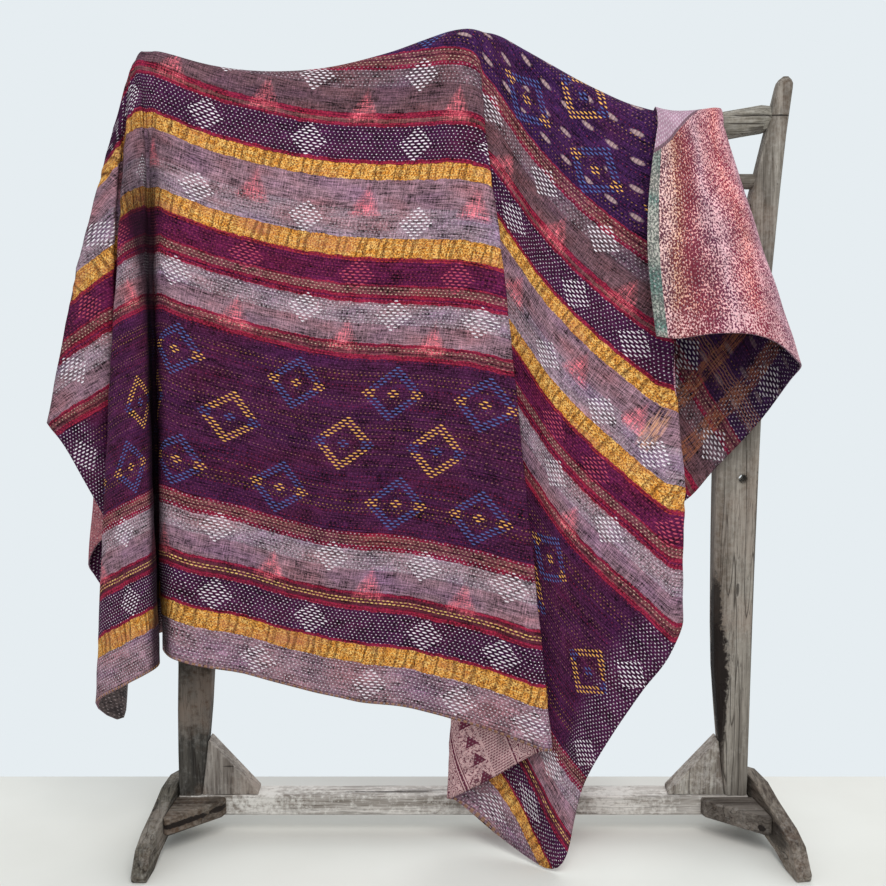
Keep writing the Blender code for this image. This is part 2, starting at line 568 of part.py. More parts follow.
def build_stretcher():
    outline = [
        (-STRETCHER_HALF, STRETCHER_TOP - STRETCHER_HIGH),
        (STRETCHER_HALF, STRETCHER_TOP - STRETCHER_HIGH),
        (STRETCHER_HALF, STRETCHER_TOP),
        (-STRETCHER_HALF, STRETCHER_TOP),
    ]
    mesh = plate("stretcher", outline, STRETCHER_FRONT, STRETCHER_BACK)
    look = material("stretcher", (0.42, 0.39, 0.35), 0.9)
    stretcher = add_object("stretcher", mesh, look)
    round_edges(stretcher, 0.003, segments=1)
    return stretcher


def build_low_rail():
    centre = (0, RAIL_Y, RAIL_HEIGHT)
    mesh = rod("low_rail", RAIL_RADIUS, 2 * RAIL_HALF_LONG, centre, "x")
    rail = add_object("low_rail", mesh, material("low rail", (0.22, 0.19, 0.16), 0.85))
    round_edges(rail, 0.003)
    return rail


def low_rail_cutter():
    long = 2 * (RAIL_HALF_LONG + GAP)
    mesh = rod("rail_cutter", RAIL_RADIUS + GAP, long, (0, RAIL_Y, RAIL_HEIGHT), "x")
    return add_object("rail_cutter", mesh, bpy.data.materials["cutter"])


def build_gusset(side):
    """An upright triangle on the stretcher that follows the post's inner face."""
    name = "gusset_right" if side > 0 else "gusset_left"
    base = STRETCHER_TOP + GAP
    heights = np.linspace(base, base + GUSSET_TALL, 7)
    inner = [post_side(side, "inner", z) - 3 * GAP for z in heights]
    outline = [(side * x, z) for x, z in zip(inner, heights)]
    outline.append((side * (inner[-1] - 0.003), heights[-1]))
    outline.append((side * (inner[0] - GUSSET_LONG), base + 0.006))
    outline.append((side * (inner[0] - GUSSET_LONG), base))
    mesh = plate(name, outline, -0.026, 0.022)
    gusset = add_object(name, mesh, material(name, (0.24, 0.215, 0.185), 0.9))
    round_edges(gusset, 0.0012, segments=1)
    return gusset


def build_corner_block(side):
    """A flat wedge in the corner between the stretcher's front and a foot's inner side."""
    name = "corner_block_right" if side > 0 else "corner_block_left"
    front = STRETCHER_FRONT - GAP
    end = front - BLOCK_REACH
    outline = [
        (side * (STRETCHER_HALF - BLOCK_LONG), front),
        (side * (foot_inside(side, front) - GAP), front),
        (side * (foot_inside(side, end) - GAP), end),
        (side * (foot_inside(side, end) - 0.012), end - 0.004),
        (side * (STRETCHER_HALF - BLOCK_LONG + 0.006), front - 0.018),
    ]
    mesh = plate(name, outline, BLOCK_LOW, STRETCHER_TOP - 0.001, axes="xy")
    block = add_object(name, mesh, material(name, (0.23, 0.2, 0.17), 0.9))
    round_edges(block, 0.003, segments=1)
    return block


def build_stand():
    build_crest()
    build_low_rail()
    build_stretcher()
    crest_slot = crest_cutter()
    rail_slot = low_rail_cutter()
    peg = rod(
        "peg_cutter", PEG_HOLE_RADIUS, 0.2, (PEG_HOLE_X, 0, PEG_HOLE_Z), "y", sides=16
    )
    peg_slot = add_object("peg_cutter", peg, bpy.data.materials["cutter"])
    for side in (-1, 1):
        post = build_post(side)
        cut(post, crest_slot)
        cut(post, rail_slot)
        if side > 0:
            cut(post, peg_slot)
        build_foot(side)
        build_gusset(side)
        build_corner_block(side)


def stand_on_origin():
    """Move everything so that the middle of its box is over the origin."""
    graph = bpy.context.evaluated_depsgraph_get()
    corners = []
    for piece in bpy.data.objects:
        if not piece.hide_render:
            shape = piece.evaluated_get(graph)
            corners += [shape.matrix_world @ Vector(c) for c in shape.bound_box]
    low, high = np.min(corners, axis=0), np.max(corners, axis=0)
    for piece in bpy.data.objects:
        piece.location = (-(low[0] + high[0]) / 2, -(low[1] + high[1]) / 2, -low[2])


def main():
    for old in list(bpy.data.objects):
        bpy.data.objects.remove(old)
    build_stand()
    build_quilt()
    stand_on_origin()


main()
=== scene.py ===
"""A patchwork kantha quilt thrown over its rustic stand, as a Blender add-on run as a script.

The CAD frame gives the stand, which keeps its shape and gets weathered wood. The quilt is made
again as a finer sheet over the same folds, with its woven bands, gathers and running stitches.
Metres, +Z up, front towards -Y.
"""

import math
from collections import namedtuple

import bmesh
import bpy
import numpy as np
from bpy.props import FloatProperty, FloatVectorProperty, PointerProperty
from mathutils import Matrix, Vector


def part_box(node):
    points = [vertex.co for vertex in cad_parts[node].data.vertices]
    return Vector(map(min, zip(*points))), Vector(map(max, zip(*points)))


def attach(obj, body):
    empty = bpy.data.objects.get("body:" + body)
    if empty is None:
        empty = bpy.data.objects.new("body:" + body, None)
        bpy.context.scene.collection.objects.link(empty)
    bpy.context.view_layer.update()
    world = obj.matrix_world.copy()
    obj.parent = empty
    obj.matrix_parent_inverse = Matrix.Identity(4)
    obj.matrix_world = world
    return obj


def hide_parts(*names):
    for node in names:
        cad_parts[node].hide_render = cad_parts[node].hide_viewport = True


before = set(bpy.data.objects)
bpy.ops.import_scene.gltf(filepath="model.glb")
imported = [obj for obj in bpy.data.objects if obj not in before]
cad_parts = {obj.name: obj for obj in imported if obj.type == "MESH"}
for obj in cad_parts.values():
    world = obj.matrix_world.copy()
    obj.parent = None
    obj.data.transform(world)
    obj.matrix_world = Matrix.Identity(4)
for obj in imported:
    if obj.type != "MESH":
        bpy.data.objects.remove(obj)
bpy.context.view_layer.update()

bl_info = {
    "name": "Kantha quilt on a wooden stand",
    "version": (1, 0, 0),
    "blender": (4, 5, 0),
    "location": "View3D > Sidebar > Quilt",
    "description": "Builds the draped quilt, the stand's weathered wood and a plain stage",
    "category": "Object",
}

STRETCHER_LOW, STRETCHER_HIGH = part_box("stretcher")
# The middle of the stand on the floor: the stretcher's middle, 3 mm behind its own centre.
STAND = Vector((
    (STRETCHER_LOW[0] + STRETCHER_HIGH[0]) / 2,
    (STRETCHER_LOW[1] + STRETCHER_HIGH[1]) / 2 + 0.003,
    STRETCHER_HIGH[2] - 0.080,
))

# ---- driving sizes of the quilt, as on its solid -------------------------------------------------
CLOTH_WIDE, CLOTH_LONG = 2.24, 1.79  # along and across its bands
CREST_LOW, CREST_RISE, CREST_HALF_SPAN, CREST_REACH = 1.461, 0.157, 0.375, 0.55
CREST_END_RISE, CREST_END_FROM, CREST_END_LONG = 0.026, 0.45, 0.15
LEFT_FOLDS_X = -0.6  # the left-hand folds hang left of this, past the crest's end
ARC_SHARE = 0.18  # of a rib's rows that go over its shoulder
SEAT_RADIUS, LIFT, KNEE_Z = 0.030, 0.0024, 1.28
FRONT_ROWS, BACK_ROWS, FINER = 86, 30, 4
FADE_SHARE = 0.16  # of a rib, from the ridge, over which its creases and ripples come in

RidgePoint = namedtuple("RidgePoint", "x z u v")
RIDGE = [RidgePoint(*row) for row in (
    (-0.684, 1.435, 0.545, 1.130),
    (-0.665, 1.490, 0.567, 1.160),
    (-0.646, 1.543, 0.600, 1.190),
    (-0.635, 1.571, 0.622, 1.204),
    (-0.627, 1.583, 0.640, 1.213),
    (-0.600, 1.583, 0.672, 1.218),
    (-0.515, 1.561, 0.760, 1.232),
    (-0.379, 1.546, 0.900, 1.254),
    (-0.233, 1.557, 1.045, 1.292),
    (-0.110, 1.593, 1.170, 1.325),
    (0.010, 1.621, 1.300, 1.358),
    (0.050, 1.617, 1.325, 1.392),
    (0.126, 1.580, 1.400, 1.448),
    (0.185, 1.549, 1.465, 1.476),
    (0.263, 1.508, 1.555, 1.500),
    (0.342, 1.478, 1.630, 1.516),
    (0.420, 1.464, 1.700, 1.542),
    (0.497, 1.471, 1.770, 1.562),
)]
CREASE_X = 0.497  # where the corner flap's crease crosses the ridge
FLAP_LIFT = 0.0065  # ribs lifted more than this belong to the flap

# Ribs from the ridge to the edge. seat is the x on the ridge, lift how far it is raised there,
# lean the way the cloth leaves it (0 front, 90 left, 180 back), hip the radius of its shoulder,
# knee its x and y at KNEE_Z, foot the point on the edge with its u and v, parts the strips to
# the next rib in front, and bow how far its middle stands off in x and y.
Rib = namedtuple("Rib", "name seat lift lean hip knee foot u v parts bow", defaults=(0, (0, 0)))
FRONT = [Rib(*row) for row in (
    ("wing edge", -0.684, 0, 90, .004, (-0.735, 0.020), (-0.848, 0.030, 0.853), 0, 0.73, 2, (-0.006, 0)),
    ("wing", -0.672, 0, 20, .010, (-0.714, -0.006), (-0.780, -0.020, 0.772), 0, 0.63, 2),
    ("wing inner", -0.657, 0, 20, .017, (-0.692, -0.024), (-0.728, -0.026, 0.672), 0, 0.53, 1),
    ("inner turn", -0.653, 0, 20, .019, (-0.685, -0.022), (-0.720, -0.010, 0.642), 0, 0.50, 1),
    ("curl front", -0.649, 0, 15, .021, (-0.688, -0.010), (-0.762, 0.030, 0.592), 0, 0.44, 1, (0.002, 0)),
    ("curl", -0.646, 0, 15, .022, (-0.690, 0.000), (-0.782, 0.052, 0.552), 0, 0.41, 1, (0.003, 0)),
    ("curl back", -0.644, 0, 15, .023, (-0.684, 0.006), (-0.772, 0.074, 0.518), 0, 0.38, 1, (0.002, 0)),
    ("wing valley", -0.642, 0, 15, .024, (-0.677, 0.002), (-0.730, 0.070, 0.450), 0, 0.29, 1),
    ("corner layer", -0.640, 0, 10, .026, (-0.671, -0.013), (-0.698, 0.005, 0.330), 0, 0.10, 1),
    ("corner", -0.6385, 0, 10, .027, (-0.668, -0.032), (-0.694, -0.060, 0.260), 0, 0, 1),
    ("pleat left", -0.636, 0, 0, .030, (-0.663, -0.05), (-0.728, -0.14, 0.318), 0.07, 0, 2, (-0.004, 0)),
    ("pleat face", -0.6315, 0, 0, .031, (-0.645, -0.058), (-0.657, -0.185, 0.370), 0.21, 0, 2),
    ("pleat right", -0.627, 0, 0, .031, (-0.627, -0.053), (-0.602, -0.150, 0.397), 0.35, 0, 2),
    ("pleat side", -0.624, 0, 0, .031, (-0.621, -0.040), (-0.642, 0.000, 0.395), 0.50, 0, 1),
    ("valley left", -0.622, 0, 0, .031, (-0.619, -0.032), (-0.644, 0.070, 0.400), 0.63, 0, 1),
    ("valley right", -0.619, 0, 0, .031, (-0.613, -0.032), (-0.624, 0.072, 0.400), 0.69, 0, 1),
    ("panel side", -0.616, 0, 0, .031, (-0.605, -0.040), (-0.614, -0.030, 0.395), 0.84, 0, 1),
    ("panel left", -0.608, 0, 0, .031, (-0.593, -0.051), (-0.585, -0.115, 0.405), 0.93, 0, 2),
    ("panel 1", -0.580, 0, 0, .030, None, (-0.526, -0.112, 0.384), 1.00, 0, 1, (0, -0.01)),
    ("panel 2", -0.495, 0, 0, .030, None, (-0.440, -0.098, 0.365), 1.09, 0, 1),
    ("panel 3", -0.395, 0, 0, .030, None, (-0.340, -0.112, 0.342), 1.19, 0, 2, (0, -0.01)),
    ("panel 4", -0.270, 0, 0, .030, None, (-0.216, -0.130, 0.318), 1.33, 0, 2, (0, -0.01)),
    ("panel 5", -0.150, 0, 0, .030, None, (-0.110, -0.132, 0.306), 1.44, 0, 2),
    ("panel 6", -0.080, .001, 0, .031, None, (-0.020, -0.150, 0.288), 1.53, 0, 2),
    ("panel 7", -0.030, .003, 0, .033, None, (0.070, -0.178, 0.268), 1.62, 0, 2),
    ("fold front", 0.004, .005, 0, .036, None, (0.150, -0.213, 0.248), 1.70, 0, 2, (0.006, 0)),
    ("fold nose", 0.016, .004, 0, .036, None, (0.168, -0.203, 0.243), 1.73, 0, 1, (0.006, 0)),
    ("fold back", 0.022, .003, 0, .034, None, (0.145, -0.190, 0.236), 1.76, 0, 2, (0.006, 0)),
    ("under fold", 0.028, .002, 0, .033, None, (0.060, -0.152, 0.170), 1.87, 0, 2),
    ("tuck front", 0.033, .001, 0, .031, None, (-0.022, -0.110, 0.110), 1.97, 0, 1),
    ("tuck nose", 0.038, 0, 0, .030, None, (-0.034, -0.093, 0.100), 2.00, 0, 1),
    ("tuck back", 0.044, 0, 0, .030, None, (-0.018, -0.080, 0.092), 2.02, 0, 2),
    ("tail 1", 0.054, 0, 0, .030, None, (0.073, -0.125, 0.033), 2.12, 0, 2),
    ("tail tip", 0.075, 0, 0, .030, None, (0.182, -0.218, 0.011), 2.24, 0.14, 2, (0.010, 0.028)),
    ("tail 2", 0.110, 0, 0, .030, None, (0.231, -0.170, 0.152), 2.24, 0.32, 2, (0.010, 0)),
    ("tail 3", 0.160, 0, 0, .030, None, (0.284, -0.170, 0.255), 2.24, 0.45, 1, (0.010, 0)),
    ("tail 4", 0.230, 0, 0, .030, None, (0.345, -0.165, 0.348), 2.24, 0.57, 2, (0.012, 0)),
    ("tail 5", 0.310, 0, 0, .030, None, (0.404, -0.150, 0.425), 2.24, 0.68, 2, (0.016, 0)),
    ("side nose", 0.350, 0, 0, .030, None, (0.427, -0.128, 0.490), 2.24, 0.74, 2, (0.024, 0)),
    ("side back", 0.366, 0, 0, .030, None, (0.398, -0.098, 0.530), 2.24, 0.80, 2, (0.012, 0)),
    ("side tuck", 0.388, 0, 0, .030, None, (0.296, -0.068, 0.650), 2.24, 0.95, 1),
    ("side turn", 0.393, 0, 0, .030, None, (0.288, -0.058, 0.662), 2.24, 0.97, 1),
    ("side under", 0.398, 0, 0, .030, None, (0.300, -0.050, 0.672), 2.24, 0.99, 1),
    ("lower side", 0.411, 0, 0, .030, None, (0.432, -0.050, 0.702), 2.24, 1.13, 2),
    ("lower mid", 0.430, 0, 0, .030, None, (0.500, -0.056, 0.776), 2.24, 1.23, 1),
    ("lower right", 0.465, 0, 0, .030, None, (0.582, -0.070, 0.872), 2.24, 1.35, 1),
    ("lower end", 0.488, 0, 0, .030, None, (0.632, -0.095, 0.955), 2.24, 1.45, 2, (-0.002, 0)),
    ("crease", 0.498, .0035, 0, .034, None, (0.644, -0.125, 0.983), 2.24, 1.50, 2, (-0.002, 0)),
    ("flap right", 0.488, .007, 0, .037, None, (0.625, -0.160, 1.000), 2.24, 1.54, 1, (0.000, -0.01)),
    ("flap 1", 0.468, .007, 0, .037, None, (0.580, -0.188, 1.034), 2.24, 1.59, 1, (0.004, -0.01)),
    ("flap 2", 0.440, .007, 0, .037, None, (0.532, -0.195, 1.050), 2.24, 1.64, 1, (0, -0.01)),
    ("flap 3", 0.410, .007, 0, .037, None, (0.462, -0.182, 1.050), 2.24, 1.70, 2),
    ("flap 4", 0.385, .007, 0, .037, None, (0.397, -0.168, 1.040), 2.24, 1.76, 1, (-0.010, 0)),
    ("flap left", 0.371, .008, 0, .038, None, (0.359, -0.162, 1.044), 2.24, 1.79, 0, (-0.018, 0)),
)]

# Ribs behind, with the same columns. The first meets the wing's edge in front; those of the
# flap's outer layer run from its crease to its free edge.
BACK = [Rib(*row) for row in (
    FRONT[0],
    ("wing hollow", -0.670, 0, 160, .012, (-0.722, 0.046), (-0.775, 0.105, 0.840), 0, 0.98),
    ("wing back", -0.659, 0, 165, .018, (-0.706, 0.062), (-0.802, 0.178, 0.802), 0, 1.19),
    ("back turn", -0.653, 0, 165, .022, (-0.692, 0.066), (-0.784, 0.206, 0.785), 0, 1.26),
    ("corner hollow", -0.646, 0, 170, .025, (-0.676, 0.056), (-0.728, 0.160, 0.790), 0, 1.48),
    ("far corner", -0.6365, 0, 175, .030, (-0.656, 0.066), (-0.715, 0.235, 0.720), 0, 1.79),
    ("hem hollow", -0.627, 0, 180, .031, (-0.635, 0.056), (-0.640, 0.140, 0.830), 0.24, 1.79),
    ("hem fold", -0.608, 0, 180, .031, (-0.600, 0.060), (-0.590, 0.190, 0.920), 0.42, 1.79),
    ("hem 1", -0.580, 0, 180, .030, None, (-0.520, 0.120, 0.965), 0.52, 1.79),
    ("hem 2", -0.395, 0, 180, .030, None, (-0.340, 0.150, 0.990), 0.76, 1.79),
    ("hem 3", -0.150, 0, 180, .030, None, (-0.130, 0.105, 1.080), 1.02, 1.79),
    ("hem 4", 0.004, .005, 180, .036, None, (0.000, 0.120, 1.160), 1.18, 1.79),
    ("hem 5", 0.044, 0, 180, .030, None, (0.035, 0.120, 1.175), 1.21, 1.79),
    ("hem 6", 0.230, 0, 180, .030, None, (0.150, 0.085, 1.195), 1.32, 1.79),
    ("hem 7", 0.352, 0, 180, .030, None, (0.235, 0.090, 1.180), 1.40, 1.79),
    ("hem 8", 0.488, 0, 180, .030, None, (0.302, 0.060, 1.150), 1.455, 1.79),
    ("crease", 0.498, .0035, 180, .034, None, (0.338, 0.080, 1.136), 1.47, 1.79),
)]
FLAP_BACK = [Rib(*row) for row in (
    BACK[-1],
    ("turned", 0.488, .007, 180, .037, None, (0.334, 0.100, 1.160), 1.50, 1.79),
    ("edge 1", 0.468, .007, 180, .037, None, (0.346, 0.098, 1.205), 1.54, 1.79),
    ("edge 2", 0.440, .007, 180, .037, None, (0.362, 0.086, 1.280), 1.62, 1.79),
    ("edge 3", 0.410, .007, 180, .037, None, (0.370, 0.068, 1.370), 1.71, 1.79),
    ("edge 4", 0.371, .008, 180, .038, None, (0.366, 0.050, 1.430), 1.77, 1.79),
)]

# ---- the woven cloth -----------------------------------------------------------------------------
# Bands from the hem up, across the cloth. wide is in millimetres, ground and thread name the
# colours, amount is how strongly the running stitches show and dash how long they are.
Band = namedtuple("Band", "name wide ground thread amount dash")
RED, OLIVE = ("crimson", "scarlet", 0.75, 0.62), ("olive", "cream", 0.75, 0.45)
BARK, FINE_GOLD = ("bark", "olive", 0.30, 0.6), ("olive", "ochre", 0.80, 0.7)
GATHERED = ("gold", "ochre", 0, 0)
BANDS = [Band(*row) for row in (
    ("hem fold", 9, "mauve", "chalk", 0.30, 0.55),
    ("mauve 19", 69, "mauve", "chalk", 0.62, 0.42),
    ("gold 18", 40, *GATHERED),
    ("red edge 18", 6, *RED),
    ("dark 17", 63, "aubergine", "chalk", 0.80, 0.36),
    ("red 16 low", 8, *RED),
    ("bark 16 low", 7, "bark", "olive", 0.40, 0.6),
    ("thin gold 16 low", 3, *FINE_GOLD),
    ("bark 16", 5, "bark", "olive", 0.35, 0.6),
    ("thin gold 16", 3, *FINE_GOLD),
    ("bark 16 high", 5, *BARK),
    ("red 16 high", 8, *RED),
    ("mauve 15 low", 45, "mauve", "lilac", 0.16, 0.6),
    ("mauve 15 high", 40, "smoke", "chalk", 0.50, 0.46),
    ("red 14 low", 9, "crimson", "chalk", 0.55, 0.40),
    ("olive 14 low", 7, *OLIVE),
    ("bark 14", 4, *BARK),
    ("olive 14", 8, *OLIVE),
    ("red 14 high", 8, "crimson", "chalk", 0.45, 0.40),
    ("field 13", 349, "aubergine", "lilac", 0.46, 0.40),
    ("red 12 low", 7, *RED),
    ("olive 12 low", 6, *OLIVE),
    ("bark 12", 3, *BARK),
    ("olive 12", 9, *OLIVE),
    ("red 12 high", 5, *RED),
    ("mauve 11 low", 38, "mauve", "lilac", 0.20, 0.55),
    ("mauve 11 high", 38, "smoke", "chalk", 0.42, 0.44),
    ("dots 10", 6, "mauve", "chalk", 0.70, 0.45),
    ("red 10 low", 5, *RED),
    ("plum 10", 5, "plum", "blush", 0.45, 0.5),
    ("red 10", 4, *RED),
    ("olive 10", 15, "olive", "cream", 0.80, 0.45),
    ("red 10 high", 5, *RED),
    ("plum 9", 48, "plum", "blush", 0.24, 0.45),
    ("red edge 8", 6, "crimson", "ember", 0.70, 0.7),
    ("gold 8", 38, *GATHERED),
    ("mauve 7 low", 56, "smoke", "chalk", 0.22, 0.45),
    ("mauve 7 high", 57, "mauve", "lilac", 0.10, 0.60),
    ("gold 6", 32, *GATHERED),
    ("red edge 6", 7, *RED),
    ("dark 5", 64, "aubergine", "chalk", 0.72, 0.32),
    ("red 4 low", 7, *RED),
    ("bark 4", 10, "tan", "olive", 0.45, 0.6),
    ("red 4 high", 8, *RED),
    ("mauve 3 low", 50, "tan grey", "lilac", 0.14, 0.60),
    ("mauve 3 high", 37, "stone", "chalk", 0.34, 0.42),
    ("red 2 low", 7, "crimson", "chalk", 0.25, 0.4),
    ("olive 2", 9, *OLIVE),
    ("bark 2", 4, *BARK),
    ("olive 2 high", 7, *OLIVE),
    ("red 2 high", 7, *RED),
    ("field 1", 284, "indigo", "lilac", 0.40, 0.36),
    ("red 0 low", 8, *RED),
    ("olive 0", 14, *OLIVE),
    ("red 0 high", 8, *RED),
    ("lavender", 180, "lavender", "chalk", 0.60, 0.40),
)]
EDGES = [float(sum(band.wide for band in BANDS[:i]) / 1000) for i in range(len(BANDS) + 1)]
RAMP_STEPS = 30  # one ramp holds no more than 32


def span(name):
    """From where to where a band runs across the cloth."""
    i = [band.name for band in BANDS].index(name)
    return EDGES[i], EDGES[i + 1]


FIELD_13, FIELD_1 = span("field 13"), span("field 1")  # dark, with rows of mixed colours
GOLD_MIDDLES = [sum(span(name)) / 2 for name in ("gold 18", "gold 8", "gold 6")]
GOLD_BEND = ((0.008, 0.071), (0.004, 0.023))  # how far the gathers sway along u, over what step
GATHER_STEP, GATHER_HALF, TUCK_STEP, LOZENGE = 0.031, 0.030, 0.019, 0.021

WANDER, TREMBLE = 0.0075, 0.0022  # how far the bands' edges stray, in long and short waves
STITCH_LONG, STITCH_ROW = 0.0090, 0.0058  # from one running stitch or row to the next
FIGURE_LONG, FIGURE_SHIFT = 0.0138, 0.0028
LOOSE_STEP = (0.055, 0.045)
SIDE_STRIP = 0.075  # white stitches along the side edges

FOLD_U = 0.615  # the bottom of the deep fold beside the left-hand pleat, where no light falls
PLEAT_EDGE_U, PLEAT_EDGE_SLOPE = 0.295, 0.32  # where the pleat turns in, at the hem and up it
UNDER_FLAP_U, UNDER_FLAP_V = 1.97, 1.16
PLAID_BARS, PLAID_WIDE, PLAID_FROM = (2.090, 2.170), 0.034, 1.10  # u, their width, v
PLAID_LINES_U, PLAID_LINES_V = 1.98, 1.335
WORN_U, WORN_V = 1.975, 1.005  # a patch worn down to its orange weft

# Woven figures: a row of like diamonds across the bands, with the place of each along them.
MotifRow = namedtuple("MotifRow", "kind v along")
WHITE, PINK, BLUE, YELLOW, FLAME = 1, 2, 3, 4, 5
MOTIFS = [MotifRow(*row) for row in (
    (WHITE, 0.040, (0.40, 0.63, 0.87, 1.11, 1.35, 1.53, 1.67, 1.90, 2.08)),
    (WHITE, 0.155, (0.28, 0.52, 0.76, 1.00, 1.20, 1.44, 1.59, 1.80, 1.98, 2.13)),
    (WHITE, 0.293, (0.30, 0.53, 0.76, 0.98, 1.22, 1.41, 1.58, 1.80, 1.98, 2.13)),
    (BLUE, 0.410, (0.21, 0.365, 0.65, 0.875, 1.085, 1.33, 1.50, 1.76, 1.95)),
    (YELLOW, 0.525, (0.44, 0.54, 0.76, 0.96, 1.20, 1.39, 1.63, 1.91, 2.13)),
    (BLUE, 0.630, (0.19, 0.62, 0.83, 1.08, 1.28, 1.47, 1.72, 1.93)),
    (WHITE, 0.785, (0.13, 0.36, 0.58, 0.80, 1.07, 1.25, 1.43, 1.65, 1.86, 2.015)),
    (PINK, 0.862, (0.25, 0.47, 0.70, 0.93, 1.16, 1.37, 1.60, 1.81, 1.93, 2.11)),
    (WHITE, 0.966, (0.15, 0.37, 0.60, 0.81, 1.035, 1.26, 1.50, 1.73, 1.88, 2.00)),
    (WHITE, 1.118, (0.36, 0.58, 0.80, 1.01, 1.23, 1.40, 1.54, 1.72, 1.86, 2.05)),
    (WHITE, 1.248, (0.42, 0.64, 0.82, 1.00, 1.22, 1.40, 1.56, 1.71, 1.90, 2.04, 2.205)),
    (BLUE, 1.350, (0.48, 0.73, 0.98, 1.22, 1.453, 1.632, 1.80, 1.93)),
    (YELLOW, 1.455, (0.36, 0.61, 0.86, 1.11, 1.34, 1.542, 1.86, 2.04)),
    (FLAME, 0.246, (0.19, 0.42, 0.65, 0.87, 1.10, 1.31, 1.50, 1.69, 1.89, 2.05)),
    (FLAME, 0.744, (0.25, 0.47, 0.69, 0.93, 1.16, 1.34, 1.54, 1.75, 1.94)),
    (FLAME, 1.008, (0.26, 0.48, 0.70, 0.92, 1.15, 1.38, 1.61, 1.80, 1.94)),
    (FLAME, 1.192, (0.50, 0.72, 0.91, 1.11, 1.31, 1.48, 1.63, 1.80, 1.99)),
    (WHITE, 0.500, (0.036,)),
    (WHITE, 0.640, (0.036,)),
    (WHITE, 0.385, (2.208,)),
    (WHITE, 0.585, (2.205,)),
    (WHITE, 1.404, (0.036, 2.205)),
    (WHITE, 1.300, (2.041,)),
)]

# Half sizes of the figures. A hollow diamond is a ring between two shares of its size round a
# heart, and its rows near the middle are in the other colour.
SOLID_HALF, HOLLOW_HALF = (0.036, 0.032), (0.061, 0.055)
HOLLOW_RING, HOLLOW_HEART, HOLLOW_LEVEL = (0.62, 1.03), 0.27, 0.0085
FLAME_HALF, FLAME_FOOT, FLAME_TALL = 0.034, 0.026, 0.058

# The reverse: block print at the hem, then rose cloth, then a speckled print in columns.
BLOCK_TOP, ROSE_TOP, PRINT_COLUMNS, FLAP_HEM_U = 0.42, 1.02, 0.30, 2.185
PRINT_LINE, PRINT_WIDE = 1.932, 0.17  # a line of the block print, and the way to the next
TRIANGLE_STEP, SELVEDGE, CORNER_U, CORNER_V = 0.040, 0.017, 0.060, 0.12
LAPEL_U, LAPEL_LONG, LAPEL_WIDE = 1.80, 0.11, 0.13  # a corner turned over at the flap's top
LAPEL_BACK, LAPEL_THICK = 0.10, 0.0028

# Soft creases pressed or hanging in the cloth, from one spot to another on the flat cloth.
# wide is half a crease's width and high how far it stands out; a trough is below 0.
Crease = namedtuple("Crease", "name u0 v0 u1 v1 wide high")
CREASES = [Crease(*row) for row in (
    ("panel trough", 0.93, 1.10, 1.02, 0.30, 0.050, -0.006),
    ("panel ridge", 1.06, 1.12, 1.20, 0.25, 0.060, 0.006),
    ("middle trough", 1.24, 1.15, 1.33, 0.20, 0.055, -0.006),
    ("fold ridge", 1.44, 1.10, 1.50, 0.25, 0.045, 0.004),
    ("horn pull", 0.70, 1.15, 1.05, 0.86, 0.045, -0.004),
    ("short pull", 1.00, 1.20, 1.12, 1.02, 0.030, -0.003),
    ("hem ripple 1", 1.12, 0.00, 1.16, 0.30, 0.030, 0.005),
    ("hem ripple 2", 1.30, 0.00, 1.28, 0.25, 0.035, -0.005),
    ("hem ripple 3", 1.48, 0.00, 1.44, 0.28, 0.035, 0.005),
    ("side trough", 1.95, 1.15, 2.05, 0.60, 0.040, -0.005),
    ("side ridge", 2.06, 1.10, 2.14, 0.70, 0.035, 0.005),
    ("flap trough", 1.82, 1.755, 2.04, 1.690, 0.018, 0.006),
    ("flap ridge", 1.86, 1.710, 2.12, 1.660, 0.020, -0.004),
    ("upper pull", 0.66, 1.20, 0.80, 0.98, 0.030, -0.004),
    ("second pull", 0.72, 1.22, 0.90, 1.05, 0.022, 0.003),
    ("middle pull", 1.16, 0.85, 1.38, 0.66, 0.040, -0.003),
    ("left ridge", 0.86, 0.75, 0.84, 0.12, 0.045, 0.005),
    ("wing ridge", 0.30, 0.95, 0.22, 0.45, 0.035, 0.004),
    ("side pull", 1.62, 1.20, 1.86, 0.80, 0.035, 0.004),
    ("lower side trough", 1.80, 0.60, 1.92, 0.30, 0.030, -0.004),
)]
CREASE_END = 0.25  # share of a crease's length over which it fades at each end


# ---- curves through a table ----------------------------------------------------------------------
def smooth(knots, values, at):
    """Cubic through (knots, values) with no overshoot, read at the places given."""
    knots = np.asarray(knots, float)
    values = np.asarray(values, float)
    at = np.clip(np.asarray(at, float), knots[0], knots[-1])
    step = np.diff(knots)
    slope = np.diff(values) / step
    tangent = np.empty_like(values)
    tangent[0], tangent[-1] = slope[0], slope[-1]
    same = slope[:-1] * slope[1:] > 0
    mean = 2 * slope[:-1] * slope[1:] / np.where(same, slope[:-1] + slope[1:], 1)
    tangent[1:-1] = np.where(same, mean, 0)
    i = np.clip(np.searchsorted(knots, at, side="right") - 1, 0, len(step) - 1)
    t = (at - knots[i]) / step[i]
    return (
        values[i] * (1 + 2 * t) * (1 - t) ** 2
        + values[i + 1] * t * t * (3 - 2 * t)
        + tangent[i] * step[i] * t * (1 - t) ** 2
        + tangent[i + 1] * step[i] * t * t * (t - 1)
    )


def eased(t):
    """0 to 1 with level ends."""
    t = np.clip(t, 0, 1)
    return t * t * (3 - 2 * t)


def crest_top(x):
    """Height of the crest rail's top, from the middle of the stand."""
    middle = math.cos(math.pi / 2 * min(abs(x) / CREST_HALF_SPAN, 1)) ** 2
    end = max(abs(x) - CREST_END_FROM, 0) / CREST_END_LONG
    return CREST_LOW + CREST_RISE * middle + CREST_END_RISE * end


